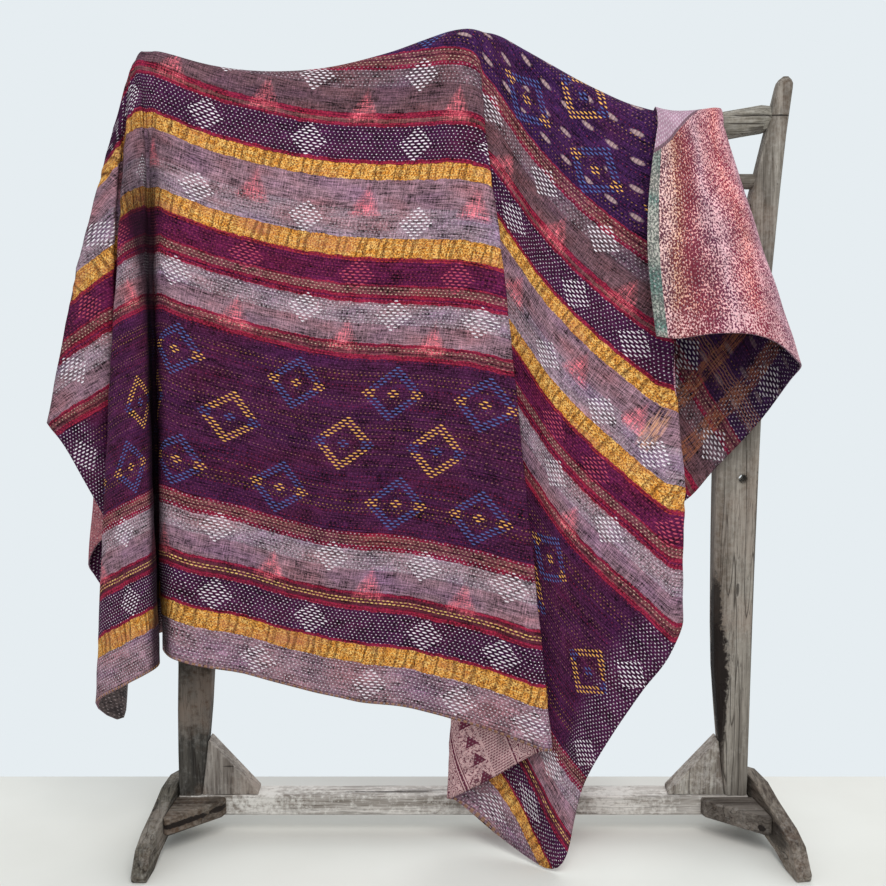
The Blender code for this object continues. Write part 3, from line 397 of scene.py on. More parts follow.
def ridge_at(x):
    """z, u and v on the ridge at x: tented between its points, or lying on the crest rail."""
    xs = [p.x for p in RIDGE]
    z, u, v = [float(smooth(xs, [getattr(p, k) for p in RIDGE], x)) for k in ("z", "u", "v")]
    if abs(x) < CREST_REACH:
        z = max(z, crest_top(x) + LIFT)
    return z, u, v


def drawn(points, parts):
    """The rows of points with parts[i] steps from row i to the next, on a rounded curve."""
    points = np.asarray(points, float)
    ends = np.vstack([2 * points[0] - points[1], points, 2 * points[-1] - points[-2]])
    out = []
    for i, count in enumerate(parts[: len(points) - 1]):
        a, b, c, d = ends[i : i + 4]
        before = np.linalg.norm(b - a) ** 0.5
        here = np.linalg.norm(c - b) ** 0.5
        after = np.linalg.norm(d - c) ** 0.5
        first = (b - a) / before - (c - a) / (before + here) + (c - b) / here
        last = (c - b) / here - (d - b) / (here + after) + (d - c) / after
        for k in range(count):
            t = k / count
            out.append(
                b * (1 + 2 * t) * (1 - t) ** 2
                + c * t * t * (3 - 2 * t)
                + first * here * t * (1 - t) ** 2
                + last * here * t * t * (t - 1)
            )
    out.append(points[-1])
    return np.array(out)


# ---- the quilt's sheet ---------------------------------------------------------------------------
FLAP_U, FLAP_V, FLAP_U_GAIN = 1.77, 1.585, 0.035  # on the ridge at the flap's crease

# Columns of a rib's row: the seat's x and z, its flat place, the way it leaves, and the rest.
SEAT, TOP, SEAT_FLAT, WAY, HIP = 0, 1, slice(2, 4), 4, 5
KNEE, FOOT, FOOT_FLAT, BOW = slice(6, 9), slice(9, 12), slice(12, 14), slice(14, 16)


def rib_row(rib):
    """One rib as a row of numbers, with its knee worked out where it has none of its own."""
    z, u, v = ridge_at(rib.seat)
    if rib.lift > FLAP_LIFT:
        along = (CREASE_X - rib.seat) / (CREASE_X - FRONT[-1].seat)
        u = FLAP_U + FLAP_U_GAIN * along
        v = FLAP_V + (CLOTH_LONG - FLAP_V) * along
    way = math.radians(rib.lean)
    z += rib.lift
    hip = np.array((rib.seat - rib.hip * math.sin(way), -rib.hip * math.cos(way), z - rib.hip))
    foot = np.array(rib.foot)
    knee = np.array((*rib.knee, KNEE_Z)) if rib.knee else hip + (foot - hip) / 2
    return np.array([rib.seat, z, u, v, way, rib.hip, *knee, *foot, rib.u, rib.v, *rib.bow])


def back_table(front):
    """The rib behind for each front rib, with the same seat."""
    crease = int(np.argmax(front[:, SEAT]))
    out = []
    for side, table in ((slice(0, crease), BACK), (slice(crease, None), FLAP_BACK)):
        rows = np.array(sorted([rib_row(rib) for rib in table], key=lambda row: row[SEAT]))
        for row in front[side]:
            shape = [float(smooth(rows[:, SEAT], column, row[SEAT])) for column in rows.T[WAY:]]
            out.append(np.array([*row[:WAY], *shape]))
    for row in out:
        if row[SEAT] > LEFT_FOLDS_X:
            row[HIP] = max(row[HIP], SEAT_RADIUS + row[TOP] - ridge_at(row[SEAT])[0])
    return np.vstack(out)


def rib_points(row, rows):
    """Points from the seat over a round shoulder, by the knee, to the foot, with u and v."""
    seat = np.array((row[SEAT], 0, row[TOP]))
    way, radius, knee, foot = row[WAY], row[HIP], row[KNEE], row[FOOT]
    bow = np.array((*row[BOW], 0))
    out = np.array((-math.sin(way), -math.cos(way), 0))
    down = np.array((0, 0, -radius))
    hip = seat + out * radius + down
    arc = radius * math.pi / 2
    upper = np.linalg.norm(knee - hip)
    length = upper + np.linalg.norm(foot - knee)
    arc_rows = max(4, round(rows * ARC_SHARE / 2))
    turn = np.linspace(0, math.pi / 2, arc_rows, endpoint=False)[:, None]
    over = seat + out * radius * np.sin(turn) + down * (1 - np.cos(turn))
    t = np.linspace(0, 1, rows + 1 - arc_rows)
    spots = [0, upper, length]
    below = np.stack([smooth(spots, [hip[i], knee[i], foot[i]], t * length) for i in range(3)], 1)
    below += bow * np.sin(math.pi * t)[:, None]
    share = np.concatenate([turn[:, 0] * radius, arc + t * length]) / (arc + length)
    flat = row[SEAT_FLAT] + (row[FOOT_FLAT] - row[SEAT_FLAT]) * share[:, None]
    return np.hstack([np.vstack([over, below]), flat])


def from_lapel(u, v):
    """Less than 1 on the small corner turned over at the flap's top."""
    return (u - LAPEL_U) / LAPEL_LONG + (CLOTH_LONG - v) / LAPEL_WIDE


def creased(u, v):
    """How far the cloth stands out at each spot: the listed creases and the gathers."""
    out = np.zeros_like(u)
    for crease in CREASES:
        start = np.array((crease.u0, crease.v0))
        run = np.array((crease.u1, crease.v1)) - start
        length = np.linalg.norm(run)
        along = ((u - start[0]) * run[0] + (v - start[1]) * run[1]) / length**2
        off = np.abs((u - start[0]) * run[1] - (v - start[1]) * run[0]) / length
        ends = eased(along / CREASE_END + 0.5) * eased((1 - along) / CREASE_END + 0.5)
        out += crease.high * np.exp(-((off / crease.wide) ** 2)) * ends
    sizes = bpy.context.scene.quilt_sizes
    (wave_u, step_u), (wave_v, step_v) = GOLD_BEND
    bend = u + wave_u * np.sin(u / step_u) + wave_v * np.sin(v / step_v)
    gather = np.sin(bend * 2 * math.pi / GATHER_STEP) * (0.7 + 0.3 * np.sin(u / 0.043 + 2))
    for middle in GOLD_MIDDLES:
        out += sizes.gather * gather * np.exp(-(((v - middle) / GATHER_HALF) ** 2))
    lapel = eased((1 - from_lapel(u, v)) / 0.08) * (u > LAPEL_U - LAPEL_BACK)
    out -= LAPEL_THICK * lapel
    slow = np.sin(u / 0.021 + 1.4 * np.sin(v / 0.051)) * np.sin(v / 0.027 + np.sin(u / 0.063))
    out += sizes.ripple * slow
    return out


def sheet_grid():
    """Corners of the middle of the cloth: places, flat places, and quads of the two sides."""
    front = drawn([rib_row(rib) for rib in FRONT], [rib.parts * FINER for rib in FRONT])
    back = back_table(front)
    places, quads, fades = [], [], []
    for table, rows, behind in ((front, FRONT_ROWS, False), (back, BACK_ROWS, True)):
        first = sum(len(p) for p in places)
        grid = np.array([rib_points(row, rows) for row in table])
        count = grid.shape[1]
        places.append(grid.reshape(-1, 5))
        gone = np.arange(count) / (count - 1)
        fades.append(np.tile(eased(gone / FADE_SHARE), len(table)))
        for i in range(len(table) - 1):
            for k in range(count - 1):
                a = first + i * count + k
                quad = (a, a + 1, a + count + 1, a + count)
                quads.append(quad[::-1] if behind else quad)
    return np.vstack(places), np.array(quads), np.concatenate(fades)


def joined(places, quads, fades):
    """The same grid with corners in one spot made one, and quads that shrank left out."""
    _, first, same = np.unique(
        np.round(places[:, :3], 5), axis=0, return_index=True, return_inverse=True
    )
    same = same.reshape(-1)
    quads = same[quads]
    keep = [q for q in quads if len(set(q)) > 2]
    faces = [tuple(dict.fromkeys(q)) for q in keep]
    return places[first], faces, fades[first]


def sheet_mesh():
    """The sheet with its creases, its flat map, and the map of its woven figures."""
    places, faces, fades = joined(*sheet_grid())
    mesh = bpy.data.meshes.new("quilt_sheet")
    mesh.from_pydata((places[:, :3] + np.array(STAND)).tolist(), [], faces)
    mesh.update()
    normals = np.empty(len(places) * 3)
    mesh.vertices.foreach_get("normal", normals)
    out = creased(places[:, 3], places[:, 4]) * fades
    moved = places[:, :3] + np.array(STAND) + normals.reshape(-1, 3) * out[:, None]
    mesh.vertices.foreach_set("co", moved.ravel())
    corners = np.empty(len(mesh.loops), int)
    mesh.loops.foreach_get("vertex_index", corners)
    flat = places[corners, 3:5]
    mesh.uv_layers.new(name="flat").data.foreach_set("uv", flat.ravel())
    owner = np.repeat(np.arange(len(faces)), [len(face) for face in faces])
    middle = np.zeros((len(faces), 2))
    np.add.at(middle, owner, flat)
    middle /= np.array([len(face) for face in faces])[:, None]
    centres = np.array([(u, row.v, row.kind) for row in MOTIFS for u in row.along])
    gap = (middle[:, None, 0] - centres[:, 0]) ** 2 + (middle[:, None, 1] - centres[:, 1]) ** 2
    nearest = np.argmin(gap, axis=1)
    local = flat - centres[nearest][owner][:, :2]
    mesh.uv_layers.new(name="figure").data.foreach_set("uv", local.ravel())
    kind = mesh.attributes.new("figure_kind", "FLOAT", "FACE")
    kind.data.foreach_set("value", centres[nearest][:, 2])
    mesh.shade_smooth()
    mesh.update()
    return mesh


# ---- looks ---------------------------------------------------------------------------------------
def makes(operation, swapped=False):
    """A method that adds one Math node, with its first two values swapped where it says so."""
    def method(self, *others):
        values = (*others, self) if swapped else (self, *others)
        return self.math(operation, *values)

    return method


class Value:
    """A number that varies over a surface. Arithmetic on it adds Math nodes to its look."""

    def __init__(self, look, socket):
        self.look, self.socket = look, socket

    def math(self, operation, *values):
        node = self.look.add("ShaderNodeMath", {"operation": operation}, dict(enumerate(values)))
        return Value(self.look, node.outputs[0])

    __add__ = __radd__ = makes("ADD")
    __mul__ = __rmul__ = makes("MULTIPLY")
    __sub__, __rsub__ = makes("SUBTRACT"), makes("SUBTRACT", swapped=True)
    __truediv__, __rtruediv__ = makes("DIVIDE"), makes("DIVIDE", swapped=True)
    __lt__, __gt__ = makes("LESS_THAN"), makes("GREATER_THAN")
    least, most = makes("MINIMUM"), makes("MAXIMUM")
    __abs__, floor, fract = makes("ABSOLUTE"), makes("FLOOR"), makes("FRACT")
    sine, root = makes("SINE"), makes("SQRT")

    def clamped(self):
        return self.least(1.0).most(0.0)

    def between(self, low, high):
        return (self > low) * (self < high)

    def near(self, other):
        return self.math("COMPARE", self, other, 0.5)


class Look:
    """A material being made: every node but its shader and output comes from add."""

    def __init__(self, name, roughness, shine=0.5, noise_dimensions="3D"):
        self.noise_dimensions = noise_dimensions
        self.material = bpy.data.materials.new(name)
        self.material.use_nodes = True
        self.tree = self.material.node_tree
        self.shader = self.tree.nodes["Principled BSDF"]
        self.shader.inputs["Roughness"].default_value = roughness
        self.shader.inputs["Specular IOR Level"].default_value = shine

    def add(self, kind, settings=None, inputs=None):
        """A node of a type, with its settings made first and then its values or links."""
        node = self.tree.nodes.new(kind)
        for name, value in (settings or {}).items():
            if name == "stops":
                ramp = node.color_ramp
                ramp.interpolation = settings.get("steps", "LINEAR")
                while len(ramp.elements) < len(value):
                    ramp.elements.new(1.0)
                for element, (place, colour) in zip(ramp.elements, value):
                    element.position = place
                    element.color = (*colour, 1)
            elif name != "steps":
                setattr(node, name, value)
        for name, value in (inputs or {}).items():
            socket = node.inputs[name]
            if isinstance(value, Value):
                self.tree.links.new(value.socket, socket)
            elif isinstance(value, bpy.types.NodeSocket):
                self.tree.links.new(value, socket)
            elif hasattr(value, "__len__") and len(socket.default_value) == 4:
                socket.default_value = (*value[:3], 1)
            else:
                socket.default_value = value
        return node

    def mix(self, share, first, second, blend="MIX"):
        settings = {"data_type": "RGBA", "blend_type": blend, "clamp_factor": True}
        return self.add("ShaderNodeMix", settings, {0: share, 6: first, 7: second}).outputs[2]

    def ramp(self, value, stops, steps="LINEAR"):
        node = self.add("ShaderNodeValToRGB", {"steps": steps, "stops": stops}, {0: value})
        return node.outputs["Color"]

    def split(self, socket):
        node = self.add("ShaderNodeSeparateXYZ", None, {0: socket})
        return [Value(self, out) for out in node.outputs]

    def join(self, x, y, z=0.0):
        return self.add("ShaderNodeCombineXYZ", None, {0: x, 1: y, 2: z}).outputs[0]

    def uv(self, name):
        return self.add("ShaderNodeUVMap", {"uv_map": name}).outputs[0]

    def scaled(self, place, scale):
        inputs = {0: place, 1: scale}
        return self.add("ShaderNodeVectorMath", {"operation": "MULTIPLY"}, inputs).outputs[0]

    def shaded(self, colour, light):
        """The colour made lighter or darker by a number."""
        return self.mix(1.0, colour, self.join(light, light, light), "MULTIPLY")

    def noise(self, place, scale, detail=2.0, roughness=0.5, stretch=None):
        if stretch:
            place = self.scaled(place, (*stretch, 1.0))
        inputs = {"Vector": place, "Scale": scale, "Detail": detail, "Roughness": roughness}
        settings = {"noise_dimensions": self.noise_dimensions}
        return Value(self, self.add("ShaderNodeTexNoise", settings, inputs).outputs["Fac"])

    def chance(self, x, y=0.0):
        """A random number for each whole x and y."""
        place = self.join(x, y)
        node = self.add("ShaderNodeTexWhiteNoise", {"noise_dimensions": "2D"}, {"Vector": place})
        return Value(self, node.outputs["Value"])

    def finish(self, colour, height=None, depth=0.001, roughness=None, strength=1.0):
        """The material with this colour, and with this height as relief."""
        links = self.tree.links
        links.new(colour, self.shader.inputs["Base Color"])
        if roughness is not None:
            links.new(roughness.socket, self.shader.inputs["Roughness"])
        if height is not None:
            inputs = {"Height": height, "Distance": depth, "Strength": strength}
            bump = self.add("ShaderNodeBump", None, inputs)
            links.new(bump.outputs[0], self.shader.inputs["Normal"])
        return self.material


def linear(colour):
    """A colour as it is named on a screen, in the shader's own scale."""
    return tuple(c / 12.92 if c < 0.04045 else ((c + 0.055) / 1.055) ** 2.4 for c in colour)


def tint(red, green, blue):
    return linear((red / 255, green / 255, blue / 255))


COLOURS = {
    "aubergine": tint(60, 22, 52),
    "indigo": tint(50, 23, 60),
    "plum": tint(78, 20, 54),
    "mauve": tint(128, 99, 109),
    "smoke": tint(132, 110, 120),
    "tan grey": tint(92, 66, 72),
    "stone": tint(92, 70, 78),
    "lavender": tint(140, 108, 124),
    "gold": tint(220, 146, 58),
    "ochre": tint(246, 204, 124),
    "crimson": tint(112, 26, 50),
    "scarlet": tint(176, 50, 72),
    "ember": tint(190, 70, 50),
    "bark": tint(78, 32, 46),
    "tan": tint(108, 66, 66),
    "olive": tint(106, 56, 62),
    "cream": tint(206, 174, 154),
    "chalk": tint(240, 230, 236),
    "lilac": tint(156, 120, 140),
    "blush": tint(206, 88, 108),
    "blue": tint(84, 104, 164),
    "yellow": tint(240, 178, 92),
    "rose": tint(196, 92, 102),
    "umber": tint(96, 50, 26),
}


def banded(look, v, read):
    """What read gives for each band, as steps across the cloth. One ramp holds RAMP_STEPS."""
    out = None
    for first in range(0, len(BANDS), RAMP_STEPS):
        group = BANDS[first : first + RAMP_STEPS]
        low, high = EDGES[first], EDGES[first + len(group)]
        share = (v - low) / (high - low)
        stops = [
            ((EDGES[first + i] - low) / (high - low), read(band)) for i, band in enumerate(group)
        ]
        part = look.ramp(share, stops, "CONSTANT")
        out = part if out is None else look.mix(v > low, out, part)
    return out


def lattice(look, u, v, long=STITCH_LONG, tall=STITCH_ROW, slip=0.24):
    """Rows of running stitches, each row half a step on. Gives how far a spot is from the
    middle of its stitch, along and across in shares of a step, the row, and the stitch."""
    row = (v / tall).floor()
    slide = look.chance(row, 7.0)
    along = u / long + row * 0.5 + slide * slip
    stitch = along.floor()
    off_u = abs(along.fract() - 0.5)
    off_v = abs((v / tall).fract() - 0.5)
    return off_u, off_v, row, stitch


def dash(off_u, off_v, long, tall):
    """A stitch as a soft oval, long and tall in shares of its step."""
    across = off_v / (tall * 0.5)
    along = off_u / (long * 0.5)
    return (1.6 - (along * along + across * across) * 1.2).clamped()


Weave = namedtuple("Weave", "grain weft warp streak tremble hue")


def weave_of(look, flat):
    """How the threads vary: fine grain, each way of the weave, streaks, wobble and dye."""
    return Weave(
        grain=look.noise(flat, 300.0, 2.0, 0.7, (1.0, 1.2)),
        weft=look.noise(flat, 1.0, 1.0, 0.5, (36.0, 420.0)),
        warp=look.noise(flat, 1.0, 1.0, 0.5, (440.0, 40.0)),
        streak=look.noise(flat, 1.0, 2.0, 0.6, (7.0, 190.0)),
        tremble=look.noise(flat, 160.0, 1.0) - 0.5,
        hue=look.noise(flat, 9.0, 3.0, 0.5, (0.8, 2.0)),
    )


def running_stitches(look, flat, v_woven, weave, colours):
    """The running stitches of every band: how much of them shows, their colour, how far a spot
    is from its row, and where the gold bands are."""
    u, v, _ = look.split(flat)
    thread = banded(look, v_woven, lambda band: colours[band.thread])
    measures = banded(
        look, v_woven, lambda band: (band.amount, band.dash, float(band.ground == "gold"))
    )
    amount, long, golden = look.split(measures)
    off_u, off_v, row, stitch = lattice(
        look, u + weave.tremble * 0.002, v + weave.tremble * 0.0012
    )
    luck = look.chance(stitch, row)
    row_luck = look.chance(row, 3.0)

    # dark fields: each row of stitches has its own dim colour
    field = v_woven.between(*FIELD_13).most(v_woven.between(*FIELD_1))
    mixed = look.ramp(row_luck, (
        (0.00, tint(124, 72, 112)), (0.38, tint(150, 72, 100)), (0.56, tint(168, 50, 72)),
        (0.74, tint(182, 128, 112)), (0.90, tint(206, 150, 84)),
    ), "CONSTANT")
    thread = look.mix(field, thread, mixed)
    warm = look.noise(flat, 3.0, 1.0, 0.5, (1.4, 5.0))
    amount = amount * (1 - field * (0.35 - 0.9 * row_luck * warm))

    # a strip with white stitches runs along the two side edges
    edge = u.least(CLOTH_WIDE - u) + (look.noise(flat, 9.0, 1.0) - 0.5) * 0.03
    border = (1 - (edge - SIDE_STRIP) / 0.03).clamped() * (1 - golden) * field
    thread = look.mix(border, thread, colours["chalk"])
    amount = amount.most(border * 0.7)
    show = (dash(off_u, off_v, long, 0.26 + 0.36 * long) * (0.45 + 0.75 * luck)) * amount
    return show, thread, off_v, golden


def figures(look, show, thread, tremble, colours):
    """Diamonds of longer stitches over the running ones, round the middle of each figure."""
    x, y, _ = look.split(look.uv("figure"))
    kind_node = look.add("ShaderNodeAttribute", {"attribute_name": "figure_kind"})
    kind = Value(look, kind_node.outputs["Fac"])
    ragged = tremble * 0.006
    solid = (abs(x + ragged) / SOLID_HALF[0] + abs(y) / SOLID_HALF[1] < 1.0) * (kind < 2.5)
    pink = kind.near(PINK) * solid
    ring = abs(x + ragged) / HOLLOW_HALF[0] + abs(y) / HOLLOW_HALF[1]
    hollow = kind.between(2.5, 4.5) * (ring.between(*HOLLOW_RING).most(ring < HOLLOW_HEART))
    level = abs(y) < HOLLOW_LEVEL
    blue_here = kind.near(YELLOW) * level + kind.near(BLUE) * (1 - level)
    figure = solid.most(hollow)
    off_x, off_y, row, stitch = lattice(
        look, x + tremble * 0.003, y + FIGURE_SHIFT + tremble * 0.0012, FIGURE_LONG,
        STITCH_ROW, 0.0,
    )
    luck = look.chance(stitch + kind * 3.0, row)
    stitches = dash(off_x, off_y, 0.66, 0.50) * (0.80 - 0.22 * pink + 0.30 * luck)
    solid_thread = look.mix(pink, colours["chalk"], colours["blush"])
    hollow_thread = look.mix(blue_here, colours["yellow"], colours["blue"])
    thread = look.mix(figure, thread, look.mix(hollow, solid_thread, hollow_thread))
    show = show + (stitches * (1 - hollow * blue_here * 0.12) - show) * figure

    # the woven flames: triangles of pink weft
    spread = abs(x) / FLAME_HALF + (y + FLAME_FOOT).most(0) / FLAME_TALL
    flame = kind.near(FLAME) * ((1.1 - spread) * 2.2).clamped()
    flame = flame * ((y + FLAME_FOOT + 0.010) / 0.010).clamped()
    return show, thread, figure, flame


def worn(look, flat, ground, flame, weave, colours):
    """The ground with its flames, patches of warmer and cooler dye, and its threads worn."""
    hue, grain, warp = weave.hue, weave.grain, weave.warp
    ground = look.mix(((hue - 0.50) * 3.0).clamped(), ground, (0.78, 0.72, 1.0), "MULTIPLY")
    ground = look.mix(((0.48 - hue) * 3.0).clamped(), ground, (1.1, 0.76, 0.70), "MULTIPLY")
    broken = (weave.weft - 0.40) * 2.2 + (grain - 0.5) * 2.0 + (warp - 0.5) * 2.0
    ground = look.mix(flame * (0.22 + 0.62 * broken.clamped()), ground, colours["rose"])
    blotch = look.noise(flat, 15.0, 4.0, 0.65, (1.0, 1.6))
    wear = grain * 1.7 + weave.weft * 2.1 + warp * 1.5 + weave.streak * 1.2 + blotch * 1.8
    ground = look.shaded(ground, wear - 3.15)
    speck = ((grain * 0.6 + warp * 0.6 - 0.66) * 4.0).clamped()
    return look.mix(speck * 0.6, ground, (1.7, 1.5, 1.55), "MULTIPLY")


def plaid(look, ground, u, v, v_woven, golden, weave):
    """Orange weft near the right-hand edge: broad bars, fine lines and a worn patch."""
    bars = 0
    for middle in PLAID_BARS:
        off = PLAID_WIDE / 2 + weave.tremble * 0.010 - abs(u - middle)
        bars = (off / 0.005 + 0.5).clamped() + bars
    bars = bars * ((v - PLAID_FROM) / 0.03).clamped() * (1 - golden)
    bars = bars * ((weave.warp - 0.38) * 4.0 + (weave.weft - 0.5) * 1.5).clamped()
    ground = look.mix(bars * 0.75, ground, tint(166, 100, 64))
    fine = ((1 - abs(v_woven - PLAID_LINES_V) / 0.020) * 3.0).clamped() * (u > PLAID_LINES_U)
    fine = fine * ((v_woven / 0.0056).fract() < 0.36)
    ground = look.mix(fine * 0.60, ground, tint(180, 122, 98))
    patch = (1 - abs(u - WORN_U) / 0.020).clamped() * (1 - abs(v - WORN_V) / 0.05).clamped()
    patch = (patch * 3.0).clamped() * ((weave.warp - 0.42) * 5.0).clamped()
    return look.mix(patch * 0.75, ground, tint(220, 160, 118))


def gold_cloth(look, flat, weave, colours):
    """Gold bands: nested lozenges in brown thread, and painted shade in the tucks of the gathers."""
    u, v, _ = look.split(flat)
    y = abs(v - GOLD_MIDDLES[0])
    for middle in GOLD_MIDDLES[1:]:
        y = y.least(abs(v - middle))
    (wave_u, step_u), (wave_v, step_v) = GOLD_BEND
    bend = u + wave_u * (u / step_u).sine() + wave_v * (v / step_v).sine()
    shake = (look.noise(flat, 70.0, 2.0) - 0.5) * 0.012
    x = abs((bend / LOZENGE).fract() - 0.5) * LOZENGE + shake
    rings = abs(((x + y * 0.9) / 0.0070).fract() - 0.5) / 0.5
    cross = (1 - abs(x - y * 0.8) / 0.0018).clamped()
    brown = ((0.60 - rings) * 2.0).clamped() * 0.75 + (weave.grain - 0.47) * 3.4
    brown = (brown + (weave.warp - 0.5) * 2.0 - cross * 0.5).clamped()
    tuck = bend / TUCK_STEP + (look.noise(flat, 20.0, 2.0, 0.5, (1.0, 0.3)) - 0.5) * 1.2
    luck = look.chance(tuck.floor(), 5.0)
    off = abs(tuck.fract() - 0.5 + (luck - 0.5) * 0.5 + shake * 22.0)
    # pinch is 1 in each tuck of the gathers: painted shade in the colour and a dip in the relief
    pinch = (1.2 - off / (0.09 + 0.13 * luck)).clamped()
    pinch = pinch * (0.45 + 0.8 * look.chance(tuck.floor(), 9.0)).clamped()
    bright = ((weave.weft - 0.44) * 4.0 + cross * 0.9).clamped() * 0.8
    gold = look.mix(bright, colours["gold"], colours["ochre"])
    gold = look.mix(brown * 0.92, gold, colours["umber"])
    rosy = ((weave.hue - 0.5) * 2.4 + (weave.grain - 0.5)).clamped()
    gold = look.mix(rosy, gold, tint(176, 104, 78))
    # painted shade: the tucks of the gathers darkened in the colour
    gold = look.mix(pinch * 0.50, gold, tint(74, 34, 24))
    return gold, pinch


def cloth_look(colours):
    """The woven face: bands, mixed rows in the dark fields, figures, gold and gathers."""
    look = Look("quilt_face", 0.9, shine=0.10, noise_dimensions="2D")
    flat = look.uv("flat")
    u, v, _ = look.split(flat)
    weave = weave_of(look, flat)
    wander = look.noise(flat, 34.0, 3.0, 0.6, (1.0, 0.25)) - 0.5
    v_woven = v + wander * WANDER + weave.tremble * TREMBLE
    ground = banded(look, v_woven, lambda band: colours[band.ground])
    plain, thread, off_v, golden = running_stitches(look, flat, v_woven, weave, colours)
    show, thread, figure, flame = figures(look, plain, thread, weave.tremble, colours)
    show = (show * (1 - golden)).clamped()
    ground = worn(look, flat, ground, flame, weave, colours)
    ground = plaid(look, ground, u, v, v_woven, golden, weave)
    gold, pinch = gold_cloth(look, flat, weave, colours)
    ground = look.mix(golden, ground, gold)
    colour = look.mix(show, ground, thread)

    # larger loose stitches in the upper dark field
    upper = v_woven.between(FIELD_1[0] + 0.010, FIELD_1[1] - 0.010)
    off_a, off_b, _, _ = lattice(look, u + 0.011, v + 0.004, *LOOSE_STEP)
    loose = dash(off_a, off_b, 0.50, 0.20) * upper * (1 - figure)
    loose = loose * (1 - (u > PLAID_LINES_U) * 0.6)
    loose = loose * (0.35 + (u / 0.0075).fract() * 0.75).clamped()
    colour = look.mix(loose, colour, tint(178, 150, 148))

    # no light falls under the corner flap, or into the deep fold and behind the pleat
    dim = ((u - UNDER_FLAP_U) / 0.05).clamped() * ((v - UNDER_FLAP_V) / 0.14).clamped() * 0.55
    deep = (1.25 - abs(u - FOLD_U) / (0.020 + 0.120 * v)) * 2.0
    inner = ((u - PLEAT_EDGE_U - PLEAT_EDGE_SLOPE * v) / 0.030).clamped()
    inner = inner * ((FOLD_U + 0.02 - u) / 0.03).clamped()
    deep = deep.clamped().most(inner) * ((1.12 - v) / 0.25).clamped() * 0.88
    colour = look.mix(dim.most(deep), colour, tint(22, 8, 20))
    hem = (v < 0.005) * ((u / 0.012).fract() < 0.55)
    colour = look.mix(hem * 0.6, colour, tint(176, 130, 84))
    height = show * 0.6 + loose * 0.5 + (0.5 - off_v) * 0.5 * (1 - golden)
    height = height + weave.grain * 0.7 + weave.weft * 0.7 - pinch * golden * 2.4
    return look.finish(colour, height, depth=0.0018, strength=0.9)


# Tones of the speckled print from place to place in its column: the cloth, its dabs, and how
# densely they lie.
Tone = namedtuple("Tone", "place pale deep dense")
PRINT_TONES = (
    Tone(0.10, tint(220, 180, 174), tint(76, 24, 46), (0.26,) * 3),
    Tone(0.17, tint(216, 168, 142), tint(96, 22, 36), (0.42,) * 3),
    Tone(0.28, tint(230, 160, 152), tint(100, 6, 40), (0.52,) * 3),
    Tone(0.43, tint(222, 176, 182), tint(82, 18, 56), (0.22,) * 3),
    Tone(0.62, tint(238, 164, 156), tint(118, 8, 44), (0.34,) * 3),
    Tone(0.80, tint(214, 166, 176), tint(88, 26, 60), (0.20,) * 3),
)


def speckled_print(look, flat, speckle):
    """Burgundy dabs over pink, in columns of other tones from the far hem."""
    u, v, _ = look.split(flat)
    drift = look.noise(flat, 1.0, 2.0, 0.5, (6.0, 14.0)) - 0.5
    column = (CLOTH_LONG - v + drift * 0.060 + 0.010) / PRINT_COLUMNS
    cloud = look.noise(flat, 22.0, 3.0, 0.5, (1.0, 1.6)) - 0.5
    pale, deep, dense = [
        look.ramp(column, [(row.place, row[i]) for row in PRINT_TONES]) for i in (1, 2, 3)
    ]
    dense = look.split(dense)[0]
    low = ((u - FLAP_HEM_U + drift * 0.05) / 0.015).clamped()
    pale = look.mix(low * 0.7, pale, tint(212, 166, 170))
    dabs = (speckle - 0.562 + cloud * 0.26 + (dense - low * 0.06) * 0.33) * 24.0 + 0.5
    dabs = dabs.clamped()
    return look.mix(dabs * 0.95, pale, deep), dabs


def block_print(look, flat, row):
    """Strips up the cloth near the hem: scrolls, fine hatching, triangles and flecks."""
    u, v, _ = look.split(flat)
    across = ((u - PRINT_LINE) / PRINT_WIDE).fract()
    from_middle = abs(across - 0.5)
    point = (v / TRIANGLE_STEP).fract()
    side = abs(across - 0.735) * PRINT_WIDE
    ink = (point < 0.62) * (side < (0.62 - point) * 0.024)
    ink = ink.most(from_middle > 0.484).most(from_middle.between(0.455, 0.468))
    curl = look.noise(flat, 48.0, 0.0)
    scroll = (abs((curl * 8.0).fract() - 0.5) < 0.17) * across.between(0.05, 0.29)
    ink = ink.most(scroll).most(abs(across - 0.30) < 0.010)
    hatch = ((v / 0.0052).fract() < 0.58) * ((u / 0.0070 + row * 0.4).fract() < 0.74)
    ink = ink.most(hatch * across.between(0.33, 0.61) * 0.85)
    fleck = ((look.noise(flat, 210.0, 1.0) - 0.55) * 12.0).clamped()
    leaf = (abs((curl * 11.0).fract() - 0.5) < 0.15) * (look.noise(flat, 90.0, 0.0) > 0.47)
    ink = ink.most(fleck.most(leaf) * across.between(0.63, 0.95) * 0.9).clamped()
    return look.mix(ink * 0.96, tint(198, 160, 160), tint(88, 16, 48))


